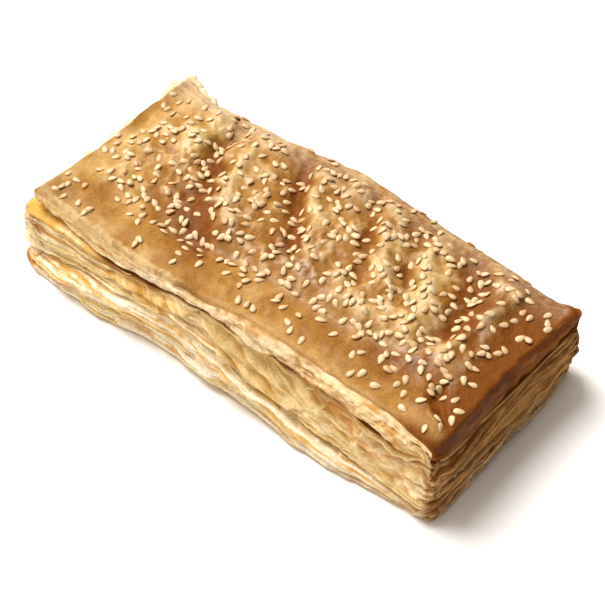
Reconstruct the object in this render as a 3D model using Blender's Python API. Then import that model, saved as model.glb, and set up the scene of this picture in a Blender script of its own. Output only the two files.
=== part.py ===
"""Potato boureka: a long flaky pastry baked round a filling, its top scattered with sesame.

The pastry is one solid. A block of grid cells is bent into shape: its top becomes the
lumpy crust, and its walls become rings that follow the sheets of dough, with a slit
under the top sheet and a seam over the bottom one. The seeds are then joined to it.
"""

import math

import bmesh
import bpy
import numpy as np
from mathutils import Matrix, Vector

MM = 0.001


def mm(*values):
    """Lengths in millimetres as an array in metres."""
    return np.array(values) * MM


# Driving dimensions: the baked rectangle, before the leaves of dough that stick out of it.
LENGTH = 167 * MM
WIDTH = 75 * MM
CORNER_RADIUS = 2.2 * MM
BOX_CENTRE_X = -2.0 * MM  # middle of the finished outline: it reaches further left and near
BOX_CENTRE_Y = -2.36 * MM

# Cells of the block that is bent into the pastry.
CELLS_LONG = 42
CELLS_WIDE = 18

# Waviness of the sheets' edges as they go round the pastry.
EDGE_WAVE_OUT = 0.45 * MM
EDGE_WAVE_UP = 0.25 * MM

# Crust: how far the filling lifts it, and the marks in it.
SWELL = 3.4 * MM
GROOVE_DEPTH = 1.6 * MM
GROOVE_WIDTH = 3.4 * MM
LUMP_HEIGHT = 0.7 * MM
LUMP_SIZE = 10 * MM
FOLD_WAVER = 1.8 * MM
CRUST_CORNER = 5 * MM  # radius of the crust's corners, seen from above
ROLL_SHARE = 0.29  # how far a quarter circle has gone in and down halfway round, of its radius

# Sesame: a flat drop with a point at one end, pressed into the crust.
SEED_LENGTH = 3.3 * MM
SEED_WIDTH = 2.1 * MM
SEED_TOP = 0.6 * MM  # from a seed's widest outline up to its top
SEED_ROOT = 1.5 * MM  # and down to the point it is rooted by
SEED_RAISED = 0.3 * MM  # height of the widest outline over the crust
SEED_TIP_TAPER = 0.35
SEED_COUNT = 200
SEED_SPACING = 3.7 * MM
SEED_RANDOM = 5
SLIVER = 0.03 * MM

HALF_LENGTH = LENGTH / 2
HALF_WIDTH = WIDTH / 2


# ---------------------------------------------------------------- smooth curves and waves


def smoothstep(low, high, at):
    """0 below low and 1 above high, with an even rise between."""
    t = np.clip((at - low) / (high - low), 0, 1)
    return t * t * (3 - 2 * t)


def through(at, places, values):
    """A smooth line through the values given at the places, level at each of them."""
    step = np.interp(at, places, np.arange(len(places)))
    cell = np.clip(np.floor(step).astype(int), 0, len(places) - 2)
    t = smoothstep(0, 1, step - cell)
    return np.asarray(values)[cell] * (1 - t) + np.asarray(values)[cell + 1] * t


def ripple(turn, seed):
    """A closed random wave round the outline, about -1 to 1; turn runs from 0 to 1."""
    draw = np.random.default_rng(seed)
    total = np.zeros_like(turn)
    for waves in range(3, 15):
        phase = draw.uniform(0, 2 * math.pi)
        total = total + np.sin(2 * math.pi * waves * turn + phase) * draw.uniform(0.3, 1)
    return total / 3


def lumps(x, y, size, seed):
    """A smooth random surface, -1 to 1: values drawn on a square lattice and joined evenly."""
    table = np.random.default_rng(seed).uniform(-1, 1, (64, 64))
    across, along = x / size + 32, y / size + 32
    i, j = np.floor(across).astype(int), np.floor(along).astype(int)
    s, t = smoothstep(0, 1, across - i), smoothstep(0, 1, along - j)
    near_row = table[i, j] * (1 - s) + table[i + 1, j] * s
    far_row = table[i, j + 1] * (1 - s) + table[i + 1, j + 1] * s
    return near_row * (1 - t) + far_row * t


# ---------------------------------------------------------------- outline seen from above


def along_side(distance, half, across):
    """One side of a rounded rectangle, from the middle of one corner arc to the next.

    Gives the place along the side, the place across it, and the outward normal.
    """
    straight = half - CORNER_RADIUS
    turned = np.clip((np.abs(distance) - straight) / CORNER_RADIUS, 0, math.pi / 4)
    along = np.where(
        turned > 0,
        np.sign(distance) * (straight + CORNER_RADIUS * np.sin(turned)),
        distance,
    )
    out = across - CORNER_RADIUS + CORNER_RADIUS * np.cos(turned)
    return along, out, np.sign(distance) * np.sin(turned), np.cos(turned)


def outline(u, v):
    """The rounded rectangle over the edge of the square (u, v), each from -1 to 1.

    Gives x, y, the outward normal, and the turn from 0 to 1 round the outline.
    """
    arc = CORNER_RADIUS * (math.pi / 4 - 1)
    on_long_side = np.abs(v) >= 1
    x1, y1, nx1, ny1 = along_side(u * (HALF_LENGTH + arc), HALF_LENGTH, HALF_WIDTH)
    y2, x2, ny2, nx2 = along_side(v * (HALF_WIDTH + arc), HALF_WIDTH, HALF_LENGTH)
    x = np.where(on_long_side, x1, np.sign(u) * x2)
    y = np.where(on_long_side, np.sign(v) * y1, y2)
    normal_x = np.where(on_long_side, nx1, np.sign(u) * nx2)
    normal_y = np.where(on_long_side, np.sign(v) * ny1, ny2)
    along_near = (u + 1) * HALF_LENGTH
    along_right = LENGTH + (v + 1) * HALF_WIDTH
    along_far = LENGTH + WIDTH + (1 - u) * HALF_LENGTH
    along_left = 2 * LENGTH + WIDTH + (1 - v) * HALF_WIDTH
    walked = np.select([v <= -1, u >= 1, v >= 1], [along_near, along_right, along_far], along_left)
    return x, y, normal_x, normal_y, walked / (2 * (LENGTH + WIDTH))


# ---------------------------------------------------------------- the sheets at each side
#
# Each side says how its sheets lie, as lines along that side:
#   seam      height of the crease over the bottom sheet
#   slit      height of the open slit's floor, under the top sheet
#   gape      how far the slit stands open
#   depth     how far the slit goes in
#   crest     height of the crust by its edge
#   roll      radius by which the crust rolls over its edge
#   and how far out of the rectangle each of these stands: the crest, the top sheet's
#   lower lip, the shoulder under the slit, the belly of the middle sheets, and the toe,
#   with tuck as how far the bottom sheet's upper edge falls back from the toe.

NEAR_SIDE = {
    "seam": (
        mm(-88, -78, -70, -58, -50, -30, -14, 0, 20, 40, 60, 88),
        mm(5, 6.6, 9, 12.4, 13, 15, 17, 15, 10.5, 6.6, 4.6, 3.6),
    ),
    "slit": (
        mm(-88, -70, -52, -30, -14, -6, 6, 20, 27, 36, 44, 60, 71, 79, 88),
        mm(22.5, 22, 20.8, 23.5, 27.2, 27.4, 25.4, 24.2, 22.6, 25, 24.8, 22.8, 21.4, 24.8, 25.6),
    ),
    "gape": (
        mm(-88, -72, -56, -30, -17, -13, -8, -4, 6, 16, 26, 36, 43, 52, 62, 75, 88),
        mm(5.2, 3, 1.5, 1.9, 1.1, 0.5, 0.5, 2.2, 2.4, 1.9, 4.2, 1.5, 2.6, 1.7, 2.2, 1.3, 1.1),
    ),
    "depth": (
        mm(-88, -56, -30, -18, -13, -8, -4, 6, 16, 26, 36, 43, 60, 75, 88),
        mm(8.5, 5, 7, 4.5, 1.6, 1.4, 5.5, 6, 5.5, 8.5, 5, 8, 5.5, 5, 3.6),
    ),
    "crest": (
        mm(-88, -74, -30, 0, 30, 60, 76, 84, 88),
        mm(32, 31.4, 31.2, 31.8, 32.4, 32.2, 32.4, 31.2, 30.4),
    ),
    "roll": (mm(-88, -30, -8, 6, 60, 78, 88), mm(2.2, 2.2, 1.6, 0.9, 0.9, 1.6, 2)),
    "crest_out": (
        mm(-88, -78, -30, -8, 8, 30, 60, 76, 88),
        mm(1.4, -0.6, -0.6, -1.2, -3.2, -4.2, -4, -2.8, -1),
    ),
    "lip_out": (mm(-88, -30, 0, 40, 60, 78, 88), mm(0, 0.6, 0.3, 0.5, 0.3, -0.6, -1.4)),
    "shoulder_out": (
        mm(-88, -76, -60, -30, -14, -2, 15, 30, 45, 60, 74, 82, 88),
        mm(4.6, 3, 2.2, 1.4, 0.6, -1.4, -3.2, -3.2, -2, -1, -2, -2.6, -1.8),
    ),
    "belly_out": (
        mm(-88, -60, -30, -10, 10, 30, 50, 70, 80, 88),
        mm(4.4, 4.4, 4.2, 3.8, 3.2, 1.6, 1.6, 1.5, 2.4, 2),
    ),
    "toe_out": (
        mm(-88, -78, -68, -52, -40, -28, -18, -4, 20, 40, 50, 60, 70, 80, 88),
        mm(6.8, 7.4, 7.8, 7.8, 6.6, 4.8, 4.5, 5.2, 4.6, 5.6, 5.6, 3.8, 2.4, 1.2, 1.6),
    ),
    "tuck": (mm(-88, -78, -66, 88), mm(3.4, 1.6, 0, 0)),
}
RIGHT_END = {
    "seam": (mm(-38, -15, 5, 38), mm(3.6, 6, 8, 8.5)),
    "slit": (mm(-38, -34, -26, 0, 20, 38), mm(25.6, 24.6, 21.4, 23, 24.5, 25)),
    "gape": (mm(-38, 0, 38), mm(1.1, 0.7, 0.8)),
    "depth": (mm(-38, -10, 20, 38), mm(2.6, 1.8, 1.6, 2)),
    "crest": (mm(-38, -35, -28, 0, 38), mm(30.4, 31.2, 32.8, 32.2, 32.8)),
    "roll": (mm(-38, -28, 24, 38), mm(2, 3.4, 3.4, 2.4)),
    "crest_out": (mm(-38, -30, 0, 38), mm(-1, 0.4, -0.6, 0.4)),
    "lip_out": (mm(-38, 0, 38), mm(-0.8, -1, 0)),
    "shoulder_out": (mm(-38, -30, -20, 0, 38), mm(-1.8, -2, -1.4, -1, 0.8)),
    "belly_out": (mm(-38, -10, 20, 38), mm(2, 1.8, 2.2, 2)),
    "toe_out": (mm(-38, 0, 25, 38), mm(1.6, 1.8, 1.4, 0)),
    "tuck": (mm(-38, 38), mm(0, 0)),
}
FAR_SIDE = {
    "seam": (mm(-88, -20, 30, 88), mm(11, 8.5, 10.5, 8.5)),
    "slit": (mm(-88, -40, 0, 40, 88), mm(23.5, 21.5, 24.5, 22, 25)),
    "gape": (mm(-88, -40, -10, 30, 60, 88), mm(3, 1.7, 0.7, 2.1, 1, 1.2)),
    "depth": (mm(-88, -40, -10, 30, 60, 88), mm(6, 5, 1.8, 5.5, 3, 3)),
    "crest": (mm(-88, -74, -56, 0, 50, 70, 88), mm(34.6, 32.4, 31.8, 33.8, 32.4, 31.4, 32.8)),
    "roll": (mm(-88, -60, 70, 88), mm(2, 2.6, 2.6, 2.4)),
    "crest_out": (
        mm(-88, -80, -68, -54, -38, -26, 0, 58, 72, 88),
        mm(-0.8, -2.2, -4.8, -3.2, -2.4, -0.8, 0.6, -1.6, -3, 0.4),
    ),
    "lip_out": (mm(-88, -78, -68, -54, -30, 30, 88), mm(-0.8, -1, -2.6, -1.4, 0.2, 0.3, 0)),
    "shoulder_out": (mm(-88, -40, 20, 88), mm(1.2, 0.4, -1, 0.4)),
    "belly_out": (mm(-88, -30, 30, 88), mm(2.4, 1.4, 2.2, 2.6)),
    "toe_out": (mm(-88, -20, 40, 88), mm(1.6, 1.2, 2.4, 0)),
    "tuck": (mm(-88, 88), mm(0, 0)),
}
LEFT_END = {
    "seam": (mm(-38, -28, 0, 38), mm(5, 8, 9.5, 11)),
    "slit": (mm(-38, 0, 38), mm(22.5, 21.5, 23.5)),
    "gape": (mm(-38, -20, 10, 38), mm(5.2, 3.6, 2.4, 3)),
    "depth": (mm(-38, 0, 38), mm(8.5, 6.5, 6)),
    "crest": (mm(-38, 0, 20, 30, 38), mm(32, 32.2, 33, 33.4, 34.6)),
    "roll": (mm(-38, 38), mm(1.8, 2)),
    "crest_out": (mm(-38, -32, -24, -8, 4, 14, 38), mm(1.4, -0.4, -1.2, -1.8, -1.6, -0.6, -1)),
    "lip_out": (mm(-38, 0, 38), mm(0, -1.4, -0.8)),
    "shoulder_out": (mm(-38, -28, -10, 14, 28, 38), mm(4.6, 3.4, 4, 5.4, 6, 4.4)),
    "belly_out": (mm(-38, 0, 38), mm(4.4, 4.2, 4.6)),
    "toe_out": (mm(-38, -30, 0, 38), mm(6.8, 4, 2.6, 2)),
    "tuck": (mm(-38, -28, 0, 38), mm(3.4, 1.2, 0, 0)),
}
SIDES = (
    (NEAR_SIDE, 0, -1),
    (RIGHT_END, 1, 0),
    (FAR_SIDE, 0, 1),
    (LEFT_END, -1, 0),
)


def sheets_at(x, y, normal_x, normal_y):
    """Each side's lines at these places, mixed by how far the outline faces that side."""
    mixed = {name: 0 for name in NEAR_SIDE}
    for lines, face_x, face_y in SIDES:
        share = np.maximum(normal_x * face_x + normal_y * face_y, 0) ** 2
        along = x if face_y else y
        for name, (places, values) in lines.items():
            mixed[name] = mixed[name] + share * through(along, places, values)
    return mixed


def ring_levels(sheets):
    """Every ring from the crest down to the foot, as (outset, height).

    The rolled rim of the crust is two rings, the top sheet's cut edge two, the slit one, the
    middle sheets five, the seam one and the bottom sheet four.
    """
    slit, seam, roll = sheets["slit"], sheets["seam"], sheets["roll"]
    lip, rim = slit + sheets["gape"], sheets["crest"] - roll
    crest_out, lip_out = sheets["crest_out"], sheets["lip_out"]
    shoulder, belly = sheets["shoulder_out"], sheets["belly_out"]
    toe, tuck = sheets["toe_out"], sheets["tuck"]
    rings = [(crest_out - ROLL_SHARE * roll, sheets["crest"] - ROLL_SHARE * roll), (crest_out, rim)]
    for share, bulge in ((0.5, 0.4 * MM), (1.0, 0)):
        rings.append((crest_out + (lip_out - crest_out) * share + bulge, rim + (lip - rim) * share))
    rings.append((-sheets["depth"], slit + 0.45 * sheets["gape"]))
    for share, bulge in ((0, 0), (0.2, -0.9 * MM), (0.42, 0.3 * MM), (0.62, -0.6 * MM), (0.85, 0.3 * MM)):
        rings.append((shoulder + (belly - shoulder) * share + bulge, slit + (seam - slit) * share))
    rings.append((np.minimum(belly, toe) - 1.8 * MM - 0.8 * tuck, seam))
    toes = ((0.2, 0, 1), (0.5, -0.8 * MM, 0.6), (0.76, 0.2 * MM, 0.2), (1, -1.2 * MM, 0))
    for share, bulge, tucked in toes:
        rings.append((toe + bulge - tuck * tucked, seam * (1 - share)))
    return rings


RING_COUNT = 15


def ring_points(u, v, level):
    """Points of the rings over places (u, v) on the edge of the square, as x, y, z."""
    x, y, normal_x, normal_y, turn = outline(u, v)
    rings = ring_levels(sheets_at(x, y, normal_x, normal_y))
    to_corner = np.maximum(HALF_LENGTH - np.abs(x), HALF_WIDTH - np.abs(y))
    room = 1.4 * MM + 0.7 * to_corner
    points = np.zeros((len(u), 3))
    for number, (outset, height) in enumerate(rings):
        chosen = level == number
        seed = 0 if number == 1 else number
        wave = EDGE_WAVE_OUT * ripple(turn, seed)
        lift = EDGE_WAVE_UP * ripple(turn, seed + 50)
        if number == len(rings) - 1:
            lift = 0 * lift
        out = np.maximum(outset + wave, -room)
        ring = np.stack([x + normal_x * out, y + normal_y * out, height + lift], -1)
        points[chosen] = ring[chosen]
    return points


# ---------------------------------------------------------------- the crust

# Folds of the crust: height (below 0 for a valley), width, and the line it follows, in
# millimetres on the rectangle.
FOLDS = (
    (-3.0, 4.6, ((-50, 34), (-47, 18), (-43, 6), (-39, -2))),
    (-2.3, 6.0, ((-68, -3), (-50, -6), (-36, -10), (-24, -19))),
    (-3.2, 5.0, ((-26, 32), (-17, 18), (-7, 6), (1, -4))),
    (-1.9, 3.2, ((8, 33), (15, 18), (23, 7), (27, 0))),
    (-1.9, 3.6, ((29, 30), (36, 14), (43, 3))),
    (-3.4, 5.4, ((48, 32), (55, 14), (61, 2), (60, -6))),
    (1.1, 4.2, ((-60, 30), (-54, 20), (-52, 8))),
    (1.3, 5.0, ((-38, 20), (-33, 7), (-26, -5), (-17, -12))),
    (1.1, 4.0, ((-13, 28), (-4, 15), (4, 6), (10, -5))),
    (0.9, 3.8, ((18, 24), (26, 11), (33, 1))),
    (0.9, 3.8, ((38, 24), (45, 9), (51, -6))),
    (1.3, 3.8, ((68, 22), (64, 8), (66, -1), (60, -9))),
)
GROOVE_LINE = (mm(-70, -52, -36, -20, 0, 30, 52, 66), mm(-8, -15, -20, -19, -17, -17.5, -14, -6))


def line_distance(x, y, places):
    """Distance from each (x, y) to the broken line through these places, below 0 to the left of it."""
    nearest = np.full(np.shape(x), np.inf)
    for (start_x, start_y), (end_x, end_y) in zip(places, places[1:]):
        along_x, along_y = (end_x - start_x) * MM, (end_y - start_y) * MM
        from_x, from_y = x - start_x * MM, y - start_y * MM
        share = np.clip((from_x * along_x + from_y * along_y) / (along_x**2 + along_y**2), 0, 1)
        gap = np.hypot(from_x - share * along_x, from_y - share * along_y)
        gap = np.where(along_x * from_y > along_y * from_x, gap, -gap)
        nearest = np.where(np.abs(gap) < np.abs(nearest), gap, nearest)
    return nearest


def folds(x, y, edge):
    """Summed height of the folds, each a bell curve across its line, which wavers a little.

    The side towards the right end is steeper than the other. Wide folds fade out far from
    the edge, and narrow ones near it.
    """
    bent_x = x + FOLD_WAVER * lumps(x, y, 8 * MM, 5)
    bent_y = y + FOLD_WAVER * lumps(x, y, 8 * MM, 6)
    height = np.zeros(np.shape(x))
    for lift, width, places in FOLDS:
        gap = line_distance(bent_x, bent_y, places) / (width * MM)
        gap = np.where(gap > 0, gap / 0.68, gap / 1.2)
        height = height + lift * MM * np.exp(-(gap**2)) * smoothstep(0, 1.7 * width * MM, edge)
    return height


def rim_gap(u, v):
    """How far inside the crust's edge a place of the square (u, v) lies, round at the corners."""
    over_x = np.abs(u) * HALF_LENGTH - HALF_LENGTH + CRUST_CORNER
    over_y = np.abs(v) * HALF_WIDTH - HALF_WIDTH + CRUST_CORNER
    outside = np.hypot(np.maximum(over_x, 0), np.maximum(over_y, 0))
    return np.maximum(CRUST_CORNER - outside - np.minimum(np.maximum(over_x, over_y), 0), 0)


def crust_lift(x, y, edge):
    """Height of the crust over its edge: the filling's swell, the folds, the groove and lumps."""
    inside = (
        smoothstep(-HALF_LENGTH + 2 * MM, -HALF_LENGTH + 20 * MM, x)
        * smoothstep(HALF_LENGTH - 3 * MM, HALF_LENGTH - 22 * MM, x)
        * smoothstep(-25 * MM, -8 * MM, y)
        * smoothstep(HALF_WIDTH, HALF_WIDTH - 11 * MM, y)
    )
    groove = np.exp(-(((y - through(x, *GROOVE_LINE)) / GROOVE_WIDTH) ** 2))
    groove = groove * smoothstep(-74 * MM, -60 * MM, x) * smoothstep(68 * MM, 50 * MM, x)
    near_rim = np.exp(-(((y + 29 * MM) / (7 * MM)) ** 2)) * smoothstep(HALF_LENGTH, 60 * MM, x)
    lift = SWELL * inside + folds(x, y, edge) - GROOVE_DEPTH * groove + 0.7 * MM * near_rim
    rough = LUMP_HEIGHT * lumps(x, y, LUMP_SIZE, 3)
    return (lift + rough * (0.35 + 0.65 * inside)) * smoothstep(0, 7 * MM, edge)


def crust_points(u, v):
    """The crust over the whole square: a Coons patch of the line of its edge, lifted."""

    def crest(a, b):
        x, y, normal_x, normal_y, turn = outline(a, b)
        sheets = sheets_at(x, y, normal_x, normal_y)
        out = sheets["crest_out"] + EDGE_WAVE_OUT * ripple(turn, 0)
        height = sheets["crest"] + EDGE_WAVE_UP * ripple(turn, 50)
        return np.stack([x + normal_x * out, y + normal_y * out, height], -1)

    one = np.ones_like(u)
    s, t = ((u + 1) / 2)[:, None], ((v + 1) / 2)[:, None]
    across = crest(u, -one) * (1 - t) + crest(u, one) * t
    along = crest(-one, v) * (1 - s) + crest(one, v) * s
    corners = (
        crest(-one, -one) * (1 - s) * (1 - t)
        + crest(one, -one) * s * (1 - t)
        + crest(-one, one) * (1 - s) * t
        + crest(one, one) * s * t
    )
    points = across + along - corners
    points[:, 2] += crust_lift(points[:, 0], points[:, 1], rim_gap(u, v))
    return points


# ---------------------------------------------------------------- building the solid


def new_object(name, bm, material):
    mesh = bpy.data.meshes.new(name)
    bm.to_mesh(mesh)
    bm.free()
    mesh.materials.append(material)
    obj = bpy.data.objects.new(name, mesh)
    bpy.context.scene.collection.objects.link(obj)
    return obj


def baked_dough():
    material = bpy.data.materials.new("baked_dough")
    material.use_nodes = True
    shader = material.node_tree.nodes["Principled BSDF"]
    shader.inputs["Base Color"].default_value = (0.58, 0.31, 0.10, 1)
    shader.inputs["Roughness"].default_value = 0.45
    shader.inputs["Metallic"].default_value = 0
    return material


def make_pastry(material):
    """A grid for the crust, its edge drawn down ring by ring, closed by a flat foot."""
    bm = bmesh.new()
    bmesh.ops.create_grid(bm, x_segments=CELLS_LONG, y_segments=CELLS_WIDE, size=1)
    edge = [e for e in bm.edges if e.is_boundary]
    for _ in range(RING_COUNT - 1):
        drawn = bmesh.ops.extrude_edge_only(bm, edges=edge)["geom"]
        edge = [g for g in drawn if isinstance(g, bmesh.types.BMEdge)]
        moved = [g for g in drawn if isinstance(g, bmesh.types.BMVert)]
        bmesh.ops.translate(bm, verts=moved, vec=(0, 0, -1))
    bmesh.ops.contextual_create(bm, geom=[e for e in bm.edges if e.is_boundary])
    bmesh.ops.recalc_face_normals(bm, faces=bm.faces)
    block = np.array([vert.co for vert in bm.verts])
    bm.verts.ensure_lookup_table()
    level = np.rint(-block[:, 2])
    u, v = block[:, 0], block[:, 1]
    rim = np.maximum(np.abs(u), np.abs(v)) > 1 - 1e-4
    u = np.where(np.abs(u) > 1 - 1e-4, np.sign(u), u)
    v = np.where(np.abs(v) > 1 - 1e-4, np.sign(v), v)
    points = np.zeros_like(block)
    points[rim] = ring_points(u[rim], v[rim], level[rim])
    points[~rim] = crust_points(u[~rim], v[~rim])
    points -= (BOX_CENTRE_X, BOX_CENTRE_Y, 0)
    for vert, point in zip(bm.verts, points):
        vert.co = point
    bmesh.ops.triangulate(bm, faces=bm.faces)
    return new_object("boureka", bm, material)


# ---------------------------------------------------------------- sesame


def seed_share(x, y):
    """How thickly seeds lie at a place, 0 to 1: most down the middle and in the groove."""
    ends = smoothstep(-82 * MM, -62 * MM, x) * smoothstep(81 * MM, 70 * MM, x)
    near = 0.12 + 0.88 * smoothstep(-29 * MM, -18 * MM, y)
    far = smoothstep(37 * MM, 27 * MM, y)
    groove = np.exp(-(((y - through(x, *GROOVE_LINE)) / (5 * MM)) ** 2))
    inside = smoothstep(-36 * MM, -33 * MM, y) * smoothstep(82 * MM, 80 * MM, np.abs(x))
    return (0.12 + 0.5 * ends * near * far + 0.38 * groove * ends) * inside


def scatter_seeds():
    """Places (x, y) and headings for the seeds, drawn one by one and kept if there is room."""
    draw = np.random.default_rng(SEED_RANDOM)
    placed = np.zeros((0, 3))
    while len(placed) < SEED_COUNT:
        x = draw.uniform(-HALF_LENGTH, HALF_LENGTH)
        y = draw.uniform(-HALF_WIDTH, HALF_WIDTH)
        wanted = draw.random() < seed_share(x, y)
        heading = draw.uniform(0, 2 * math.pi)
        gap = np.hypot(placed[:, 0] - x, placed[:, 1] - y)
        if wanted and not np.any(gap < SEED_SPACING):
            placed = np.vstack([placed, (x, y, heading)])
    return placed


def crust_place(x, y):
    """The crust's point and upward normal at (x, y), flat between the corners of its cell."""
    across, along = (x / LENGTH + 0.5) * CELLS_LONG, (y / WIDTH + 0.5) * CELLS_WIDE
    i, j = math.floor(across), math.floor(along)
    corner_u = np.array([i, i + 1, i, i + 1]) * 2 / CELLS_LONG - 1
    corner_v = np.array([j, j, j + 1, j + 1]) * 2 / CELLS_WIDE - 1
    on_edge = np.maximum(np.abs(corner_u), np.abs(corner_v)) > 1 - 1e-4
    rim, crust = ring_points(corner_u, corner_v, np.zeros(4)), crust_points(corner_u, corner_v)
    corners = np.where(on_edge[:, None], rim, crust) - (BOX_CENTRE_X, BOX_CENTRE_Y, 0)
    near_left, near_right, far_left, far_right = corners
    near = near_left + (near_right - near_left) * (across - i)
    far = far_left + (far_right - far_left) * (across - i)
    to_right = near_right + far_right - near_left - far_left
    to_far = far_left + far_right - near_left - near_right
    return Vector(near + (far - near) * (along - j)), Vector(np.cross(to_right, to_far)).normalized()


def make_seed_mesh(material):
    """A six-sided drop: a low top, a point at one end, and a root that goes into the crust."""
    bm = bmesh.new()
    bmesh.ops.create_uvsphere(bm, u_segments=6, v_segments=2, radius=1)
    for vert in bm.verts:
        along, across, up = vert.co
        vert.co.x = along * SEED_LENGTH / 2
        vert.co.y = across * SEED_WIDTH / 2 * (1 - SEED_TIP_TAPER * along)
        vert.co.z = up * (SEED_TOP if up > 0 else SEED_ROOT)
    mesh = bpy.data.meshes.new("sesame")
    bm.to_mesh(mesh)
    bm.free()
    mesh.materials.append(material)
    return mesh


def join_seeds(pastry, material):
    """Sets the seeds on the crust and joins them to the pastry as one solid."""
    seeds = bpy.data.collections.new("sesame")
    mesh = make_seed_mesh(material)
    for x, y, heading in scatter_seeds():
        point, normal = crust_place(x, y)
        seed = bpy.data.objects.new("sesame", mesh)
        lean = Vector((0, 0, 1)).rotation_difference(normal).to_matrix().to_4x4()
        turned = lean @ Matrix.Rotation(heading, 4, "Z")
        seed.matrix_world = Matrix.Translation(point + normal * SEED_RAISED) @ turned
        seeds.objects.link(seed)
    bpy.context.scene.collection.children.link(seeds)
    join = pastry.modifiers.new("sesame", "BOOLEAN")
    join.operation = "UNION"
    join.operand_type = "COLLECTION"
    join.collection = seeds
    join.solver = "MANIFOLD"
    bpy.context.view_layer.objects.active = pastry
    bpy.ops.object.modifier_apply(modifier=join.name)
    for seed in list(seeds.objects):
        bpy.data.objects.remove(seed)
    bpy.data.collections.remove(seeds)


def tidy_faces(mesh):
    """Melts the slivers that joining leaves, and cuts every face into triangles."""
    bm = bmesh.new()
    bm.from_mesh(mesh)
    bmesh.ops.remove_doubles(bm, verts=bm.verts, dist=SLIVER)
    bmesh.ops.dissolve_degenerate(bm, edges=bm.edges, dist=SLIVER)
    bmesh.ops.triangulate(bm, faces=bm.faces)
    bm.to_mesh(mesh)
    bm.free()


def main():
    for obj in list(bpy.data.objects):
        bpy.data.objects.remove(obj)
    material = baked_dough()
    pastry = make_pastry(material)
    join_seeds(pastry, material)
    tidy_faces(pastry.data)


main()
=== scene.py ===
import math

import bpy
import numpy as np
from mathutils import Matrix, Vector


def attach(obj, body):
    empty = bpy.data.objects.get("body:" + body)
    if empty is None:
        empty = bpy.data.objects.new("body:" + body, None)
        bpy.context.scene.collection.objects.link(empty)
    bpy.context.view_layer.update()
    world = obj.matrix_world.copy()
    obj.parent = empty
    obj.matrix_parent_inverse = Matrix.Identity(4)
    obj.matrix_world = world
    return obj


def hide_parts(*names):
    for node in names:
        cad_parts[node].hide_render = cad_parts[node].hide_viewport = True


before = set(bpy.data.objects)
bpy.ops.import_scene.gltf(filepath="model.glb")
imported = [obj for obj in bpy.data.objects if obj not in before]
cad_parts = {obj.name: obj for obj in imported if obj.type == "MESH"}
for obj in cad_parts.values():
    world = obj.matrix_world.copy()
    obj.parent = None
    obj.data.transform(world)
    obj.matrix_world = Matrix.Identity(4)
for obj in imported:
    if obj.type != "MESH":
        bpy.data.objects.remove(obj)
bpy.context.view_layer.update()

MM = 0.001

# ---------------------------------------------------------------- studio
#
# A white table top in a bright room. One large soft lamp stands to the left and a little
# behind, as high as it is far, and pale walls all round fill the shadows.

FLOOR_HALF_SIZE = 3.0
FLOOR_WHITE = "#f3f3f3"
CAMERA_TURN = math.radians(40.78)
CAMERA_RISE = math.radians(48.2)
CAMERA_DISTANCE = 491.6 * MM
CAMERA_FOCAL_PIXELS = 1524
FRAME_PIXELS = 605
SENSOR_MM = 36
CAMERA_LOOKS_AT = Vector((9.4, -3.88, 15)) * MM
LAMP_TURN = math.radians(-94)
LAMP_RISE = math.radians(60)
LAMP_SPREAD = math.radians(30)
LAMP_STRENGTH = 3.5
ROOM_WHITE = "#fff3e4"
ROOM_BRIGHT_SIDE = (-0.85, -0.3, 0.42)
ROOM_DARKEST = 0.03
ROOM_BRIGHTEST = 1.1


def linear(hex_code):
    """An sRGB colour code as linear red, green and blue."""
    values = np.array([int(hex_code[i : i + 2], 16) for i in (1, 3, 5)]) / 255
    return np.where(values <= 0.04045, values / 12.92, ((values + 0.055) / 1.055) ** 2.4)


def direction(turn, rise):
    """The unit vector towards a place at this turn from the near side and this rise."""
    flat = math.cos(rise)
    return Vector((math.sin(turn) * flat, -math.cos(turn) * flat, math.sin(rise)))


def add_node(tree, kind, inputs=None, **settings):
    """Adds a node, sets its properties, and fills or links each named input."""
    node = tree.nodes.new(kind)
    for name, value in settings.items():
        setattr(node, name, value)
    for name, value in (inputs or {}).items():
        if isinstance(value, bpy.types.NodeSocket):
            tree.links.new(value, node.inputs[name])
        else:
            node.inputs[name].default_value = value
    return node


def add_mesh(name, points, faces, material):
    """A smooth-shaded mesh object at the origin from point and face lists."""
    mesh = bpy.data.meshes.new(name)
    mesh.from_pydata(points, [], faces)
    mesh.materials.append(material)
    mesh.shade_smooth()
    piece = bpy.data.objects.new(name, mesh)
    bpy.context.scene.collection.objects.link(piece)
    return piece


def white_laminate():
    """White laminate: a smooth hard sheet with a matt face, so the shadow on it is soft and plain."""
    material = bpy.data.materials.new("white_laminate")
    material.use_nodes = True
    shader = material.node_tree.nodes["Principled BSDF"]
    shader.inputs["Base Color"].default_value = (*linear(FLOOR_WHITE), 1)
    shader.inputs["Roughness"].default_value = 0.7
    return material


floor_corners = [
    (x * FLOOR_HALF_SIZE, y * FLOOR_HALF_SIZE, 0) for x, y in ((-1, -1), (1, -1), (1, 1), (-1, 1))
]
floor = add_mesh("floor", floor_corners, [(0, 1, 2, 3)], white_laminate())

camera_data = bpy.data.cameras.new("camera")
camera_data.sensor_width = SENSOR_MM
camera_data.lens = SENSOR_MM * CAMERA_FOCAL_PIXELS / FRAME_PIXELS
camera_data.clip_start = 10 * MM
camera = bpy.data.objects.new("camera", camera_data)
bpy.context.scene.collection.objects.link(camera)
towards_camera = direction(CAMERA_TURN, CAMERA_RISE)
camera.location = CAMERA_LOOKS_AT + towards_camera * CAMERA_DISTANCE
camera.rotation_euler = towards_camera.to_track_quat("Z", "Y").to_euler()
bpy.context.scene.camera = camera

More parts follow.
